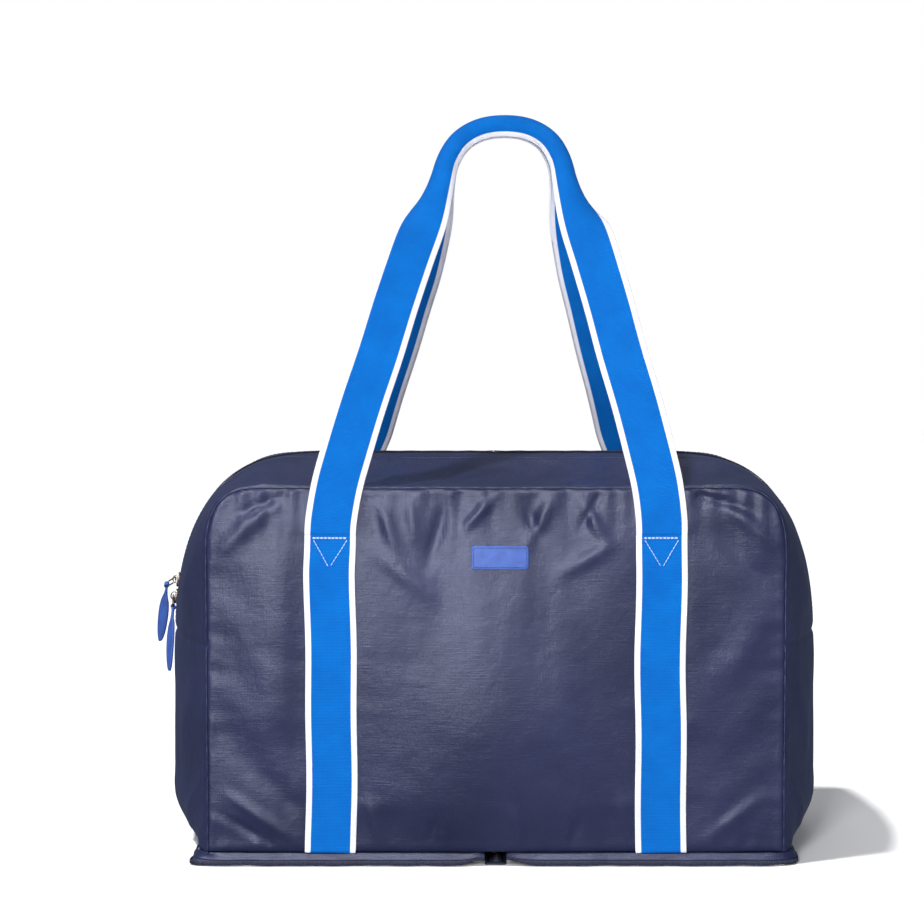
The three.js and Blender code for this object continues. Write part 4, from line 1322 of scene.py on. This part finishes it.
def slider_parts():
    """The slider's body with its nose and side walls, and the bridge for the ring."""
    shield = np.array([(-3.2, -5.4), (3.2, -5.4), (4.4, -3.6), (4.5, 0), (4.1, 3.2), (2.4, 5.2), (0, 5.8),
                       (-2.4, 5.2), (-4.1, 3.2), (-4.5, 0), (-4.4, -3.6)])
    shield = sample(np.append(shield, shield[:1], axis=0), np.arange(12), np.arange(0, 11, 0.25))
    top, faces = plate(shield, 1.4, 0.35, 0.25)
    top = np.stack([top[:, 2] + 2.0, top[:, 0], top[:, 1]], axis=1)
    walls = []
    for y in (-4.1, 4.1):
        wall, wall_faces = plate(rounded_rectangle(0.8, 8.6, 0.38, 4), 1.9, 0.15)
        walls.append((np.stack([wall[:, 2] + 0.4, wall[:, 0] + y, wall[:, 1]], axis=1), wall_faces))
    arch = np.array([(3.2, -3.3), (4.6, -3.2), (6.2, -2.2), (6.9, -0.8),
                     (6.9, 0.8), (6.2, 2.2), (4.6, 3.2), (3.2, 3.3)])
    fine = centripetal(np.stack([arch[:, 0], np.zeros(8), arch[:, 1]], axis=1), 5)
    section = rounded_rectangle(2.2, 0.9, 0.35, 3)
    side = np.array([0.0, 1.0, 0.0])
    other = np.cross(unit(np.gradient(fine, axis=0)), side)
    rings = fine[:, None] + section[None, :, :1] * side + section[None, :, 1:] * other[:, None]
    return [(top, faces), *walls, (rings.reshape(-1, 3), ring_faces(len(fine), len(section)))]


def moved(part, matrix):
    points, faces = part
    m = np.array(matrix)
    return np.asarray(points) @ m[:3, :3].T + m[:3, 3], faces


def pull(prefix, frames, bodies, twist=0.0, kick=0.0):
    """A slider, its ring and its tab. `bodies` holds the end of their names and the body of each."""
    slider_frame, ring_frame, tab_frame = frames
    last, slider_body, ring_body, tab_body = bodies
    leaf, eye, threads = tab_parts(twist, kick)
    for kind, parts, place, material, body, slot in (
            ("slider", slider_parts(), slider_frame, GOLD, slider_body, "gold_hardware"),
            ("ring", [ring_parts()], ring_frame, GOLD, ring_body, "gold_hardware"),
            ("tab", [leaf, eye], tab_frame, LEATHER, tab_body, "leather")):
        look = "leather" if kind == "tab" else "metal"
        obj = join_meshes(f"{prefix}{kind}{last}_{look}", [moved(part, place) for part in parts], material)
        finish_piece(obj, body, [f"{prefix}{kind}{last}"])
    obj = join_meshes(f"{prefix}tab{last}_thread", [moved(t, tab_frame) for t in threads], BLUE_THREAD)
    finish_piece(obj, tab_body)


def side_pull(letter, z, tilt, lean, twist, kick):
    here = float(half_width(z, 1.0))
    slope = math.atan2(float(half_width(z - 5, 1.0) - half_width(z + 5, 1.0)), 10)
    frame = (Matrix.Translation((-here, 0, z)) @ Matrix.Rotation(slope, 4, "Y")
             @ Matrix.Rotation(math.pi, 4, "Z"))
    pivot = frame @ Vector((PIVOT_OUT, 0, 0))
    hang = Matrix.Translation(pivot) @ Matrix.Rotation(lean, 4, "X")
    ring = hang @ Matrix.Rotation(tilt, 4, "Y") @ Matrix.Rotation(math.pi, 4, "Z")
    reach = Vector((-math.sin(tilt), 0, -math.cos(tilt))) * RING["length"]
    tab = hang @ Matrix.Translation(reach) @ Matrix.Rotation(math.pi, 4, "Z")
    pull("", (frame, ring, tab),
         (f"_{letter}", f"slider_{letter}_body", f"ring_{letter}_body", f"tab_{letter}_body"), twist, kick)


SLIDER_A_Z, SLIDER_B_Z = 199, 186
side_pull("a", SLIDER_A_Z, math.radians(55), math.radians(24), math.radians(34), 8.0)
side_pull("b", SLIDER_B_Z, 0.0, math.radians(-24), math.radians(26), 1.0)
upright = Matrix(((0, 0, 1, 0), (1, 0, 0, 0), (0, 1, 0, 0), (0, 0, 0, 1)))
stand = Matrix.Translation((0, BASE_Y + 1, 7)) @ upright
pull("pouch_", (stand, stand @ Matrix.Translation((PIVOT_OUT, 0, 0)),
                stand @ Matrix.Translation((PIVOT_OUT, 0, -RING["length"]))),
     ("", "body", "pouch_ring_body", "pouch_tab_body"))


# ---- Stage, camera and light ----
floor = mesh_object("floor", [(-6000, -6000, 0), (6000, -6000, 0), (6000, 6000, 0), (-6000, 6000, 0)],
                    [[0, 1, 2, 3]], plain_stage("white floor"))
floor.visible_glossy = False

camera = bpy.data.objects.new("camera", bpy.data.cameras.new("camera"))
link(camera)
camera.location = (-0.025, -2.125, 0.450)
camera.rotation_euler = (math.radians(90 - 4.26), 0, 0)
camera.data.lens = 106.2
camera.data.clip_start, camera.data.clip_end = 0.05, 50
bpy.context.scene.camera = camera

world = bpy.data.worlds.new("white studio")
bpy.context.scene.world = world
world.use_nodes = True
sky = world.node_tree
rays = sky.nodes.new("ShaderNodeLightPath").outputs


def background(colour, strength):
    node = sky.nodes.new("ShaderNodeBackground")
    node.inputs["Color"].default_value = colour
    node.inputs["Strength"].default_value = strength
    return node.outputs[0]


def choose(kind, others, these):
    """`these` for one kind of ray and `others` for the rest."""
    mix = sky.nodes.new("ShaderNodeMixShader")
    for socket, value in zip(mix.inputs, (rays[kind], others, these)):
        sky.links.new(value, socket)
    return mix.outputs[0]


scattered = background((0.97, 0.98, 1, 1), 0.26)
mirrored = background((0.55, 0.66, 1, 1), 0.2)
seen = background((1, 1, 1, 1), 1.0)
surface = choose("Is Camera Ray", choose("Is Glossy Ray", scattered, mirrored), seen)
sky.links.new(surface, sky.nodes["World Output"].inputs["Surface"])


def area_light(name, place, target, size, power):
    light = bpy.data.lights.new(name, "AREA")
    light.shape = "RECTANGLE"
    light.size, light.size_y = size
    light.energy = power
    obj = link(bpy.data.objects.new(name, light))
    obj.location = place
    obj.visible_camera = False
    obj.rotation_euler = (Vector(target) - Vector(place)).to_track_quat("-Z", "Y").to_euler()
    return obj


sun = bpy.data.lights.new("key", "SUN")
sun.energy = 3.15
sun.angle = math.radians(4)
key = link(bpy.data.objects.new("key", sun))
key.rotation_euler = Vector((0.33, 0.17, -0.93)).to_track_quat("-Z", "Y").to_euler()
area_light("front strip", (-0.40, -2.2, 0.85), (-0.05, 0.0, 0.15), (0.45, 1.1), 44)
area_light("right fill", (1.3, -2.2, 0.9), (0.1, 0.0, 0.15), (0.8, 0.8), 9)
area_light("overhead", (0.0, 0.9, 2.2), (0.0, 0.0, 0.25), (1.0, 0.5), 6)

bpy.context.scene.view_settings.view_transform = "Standard"
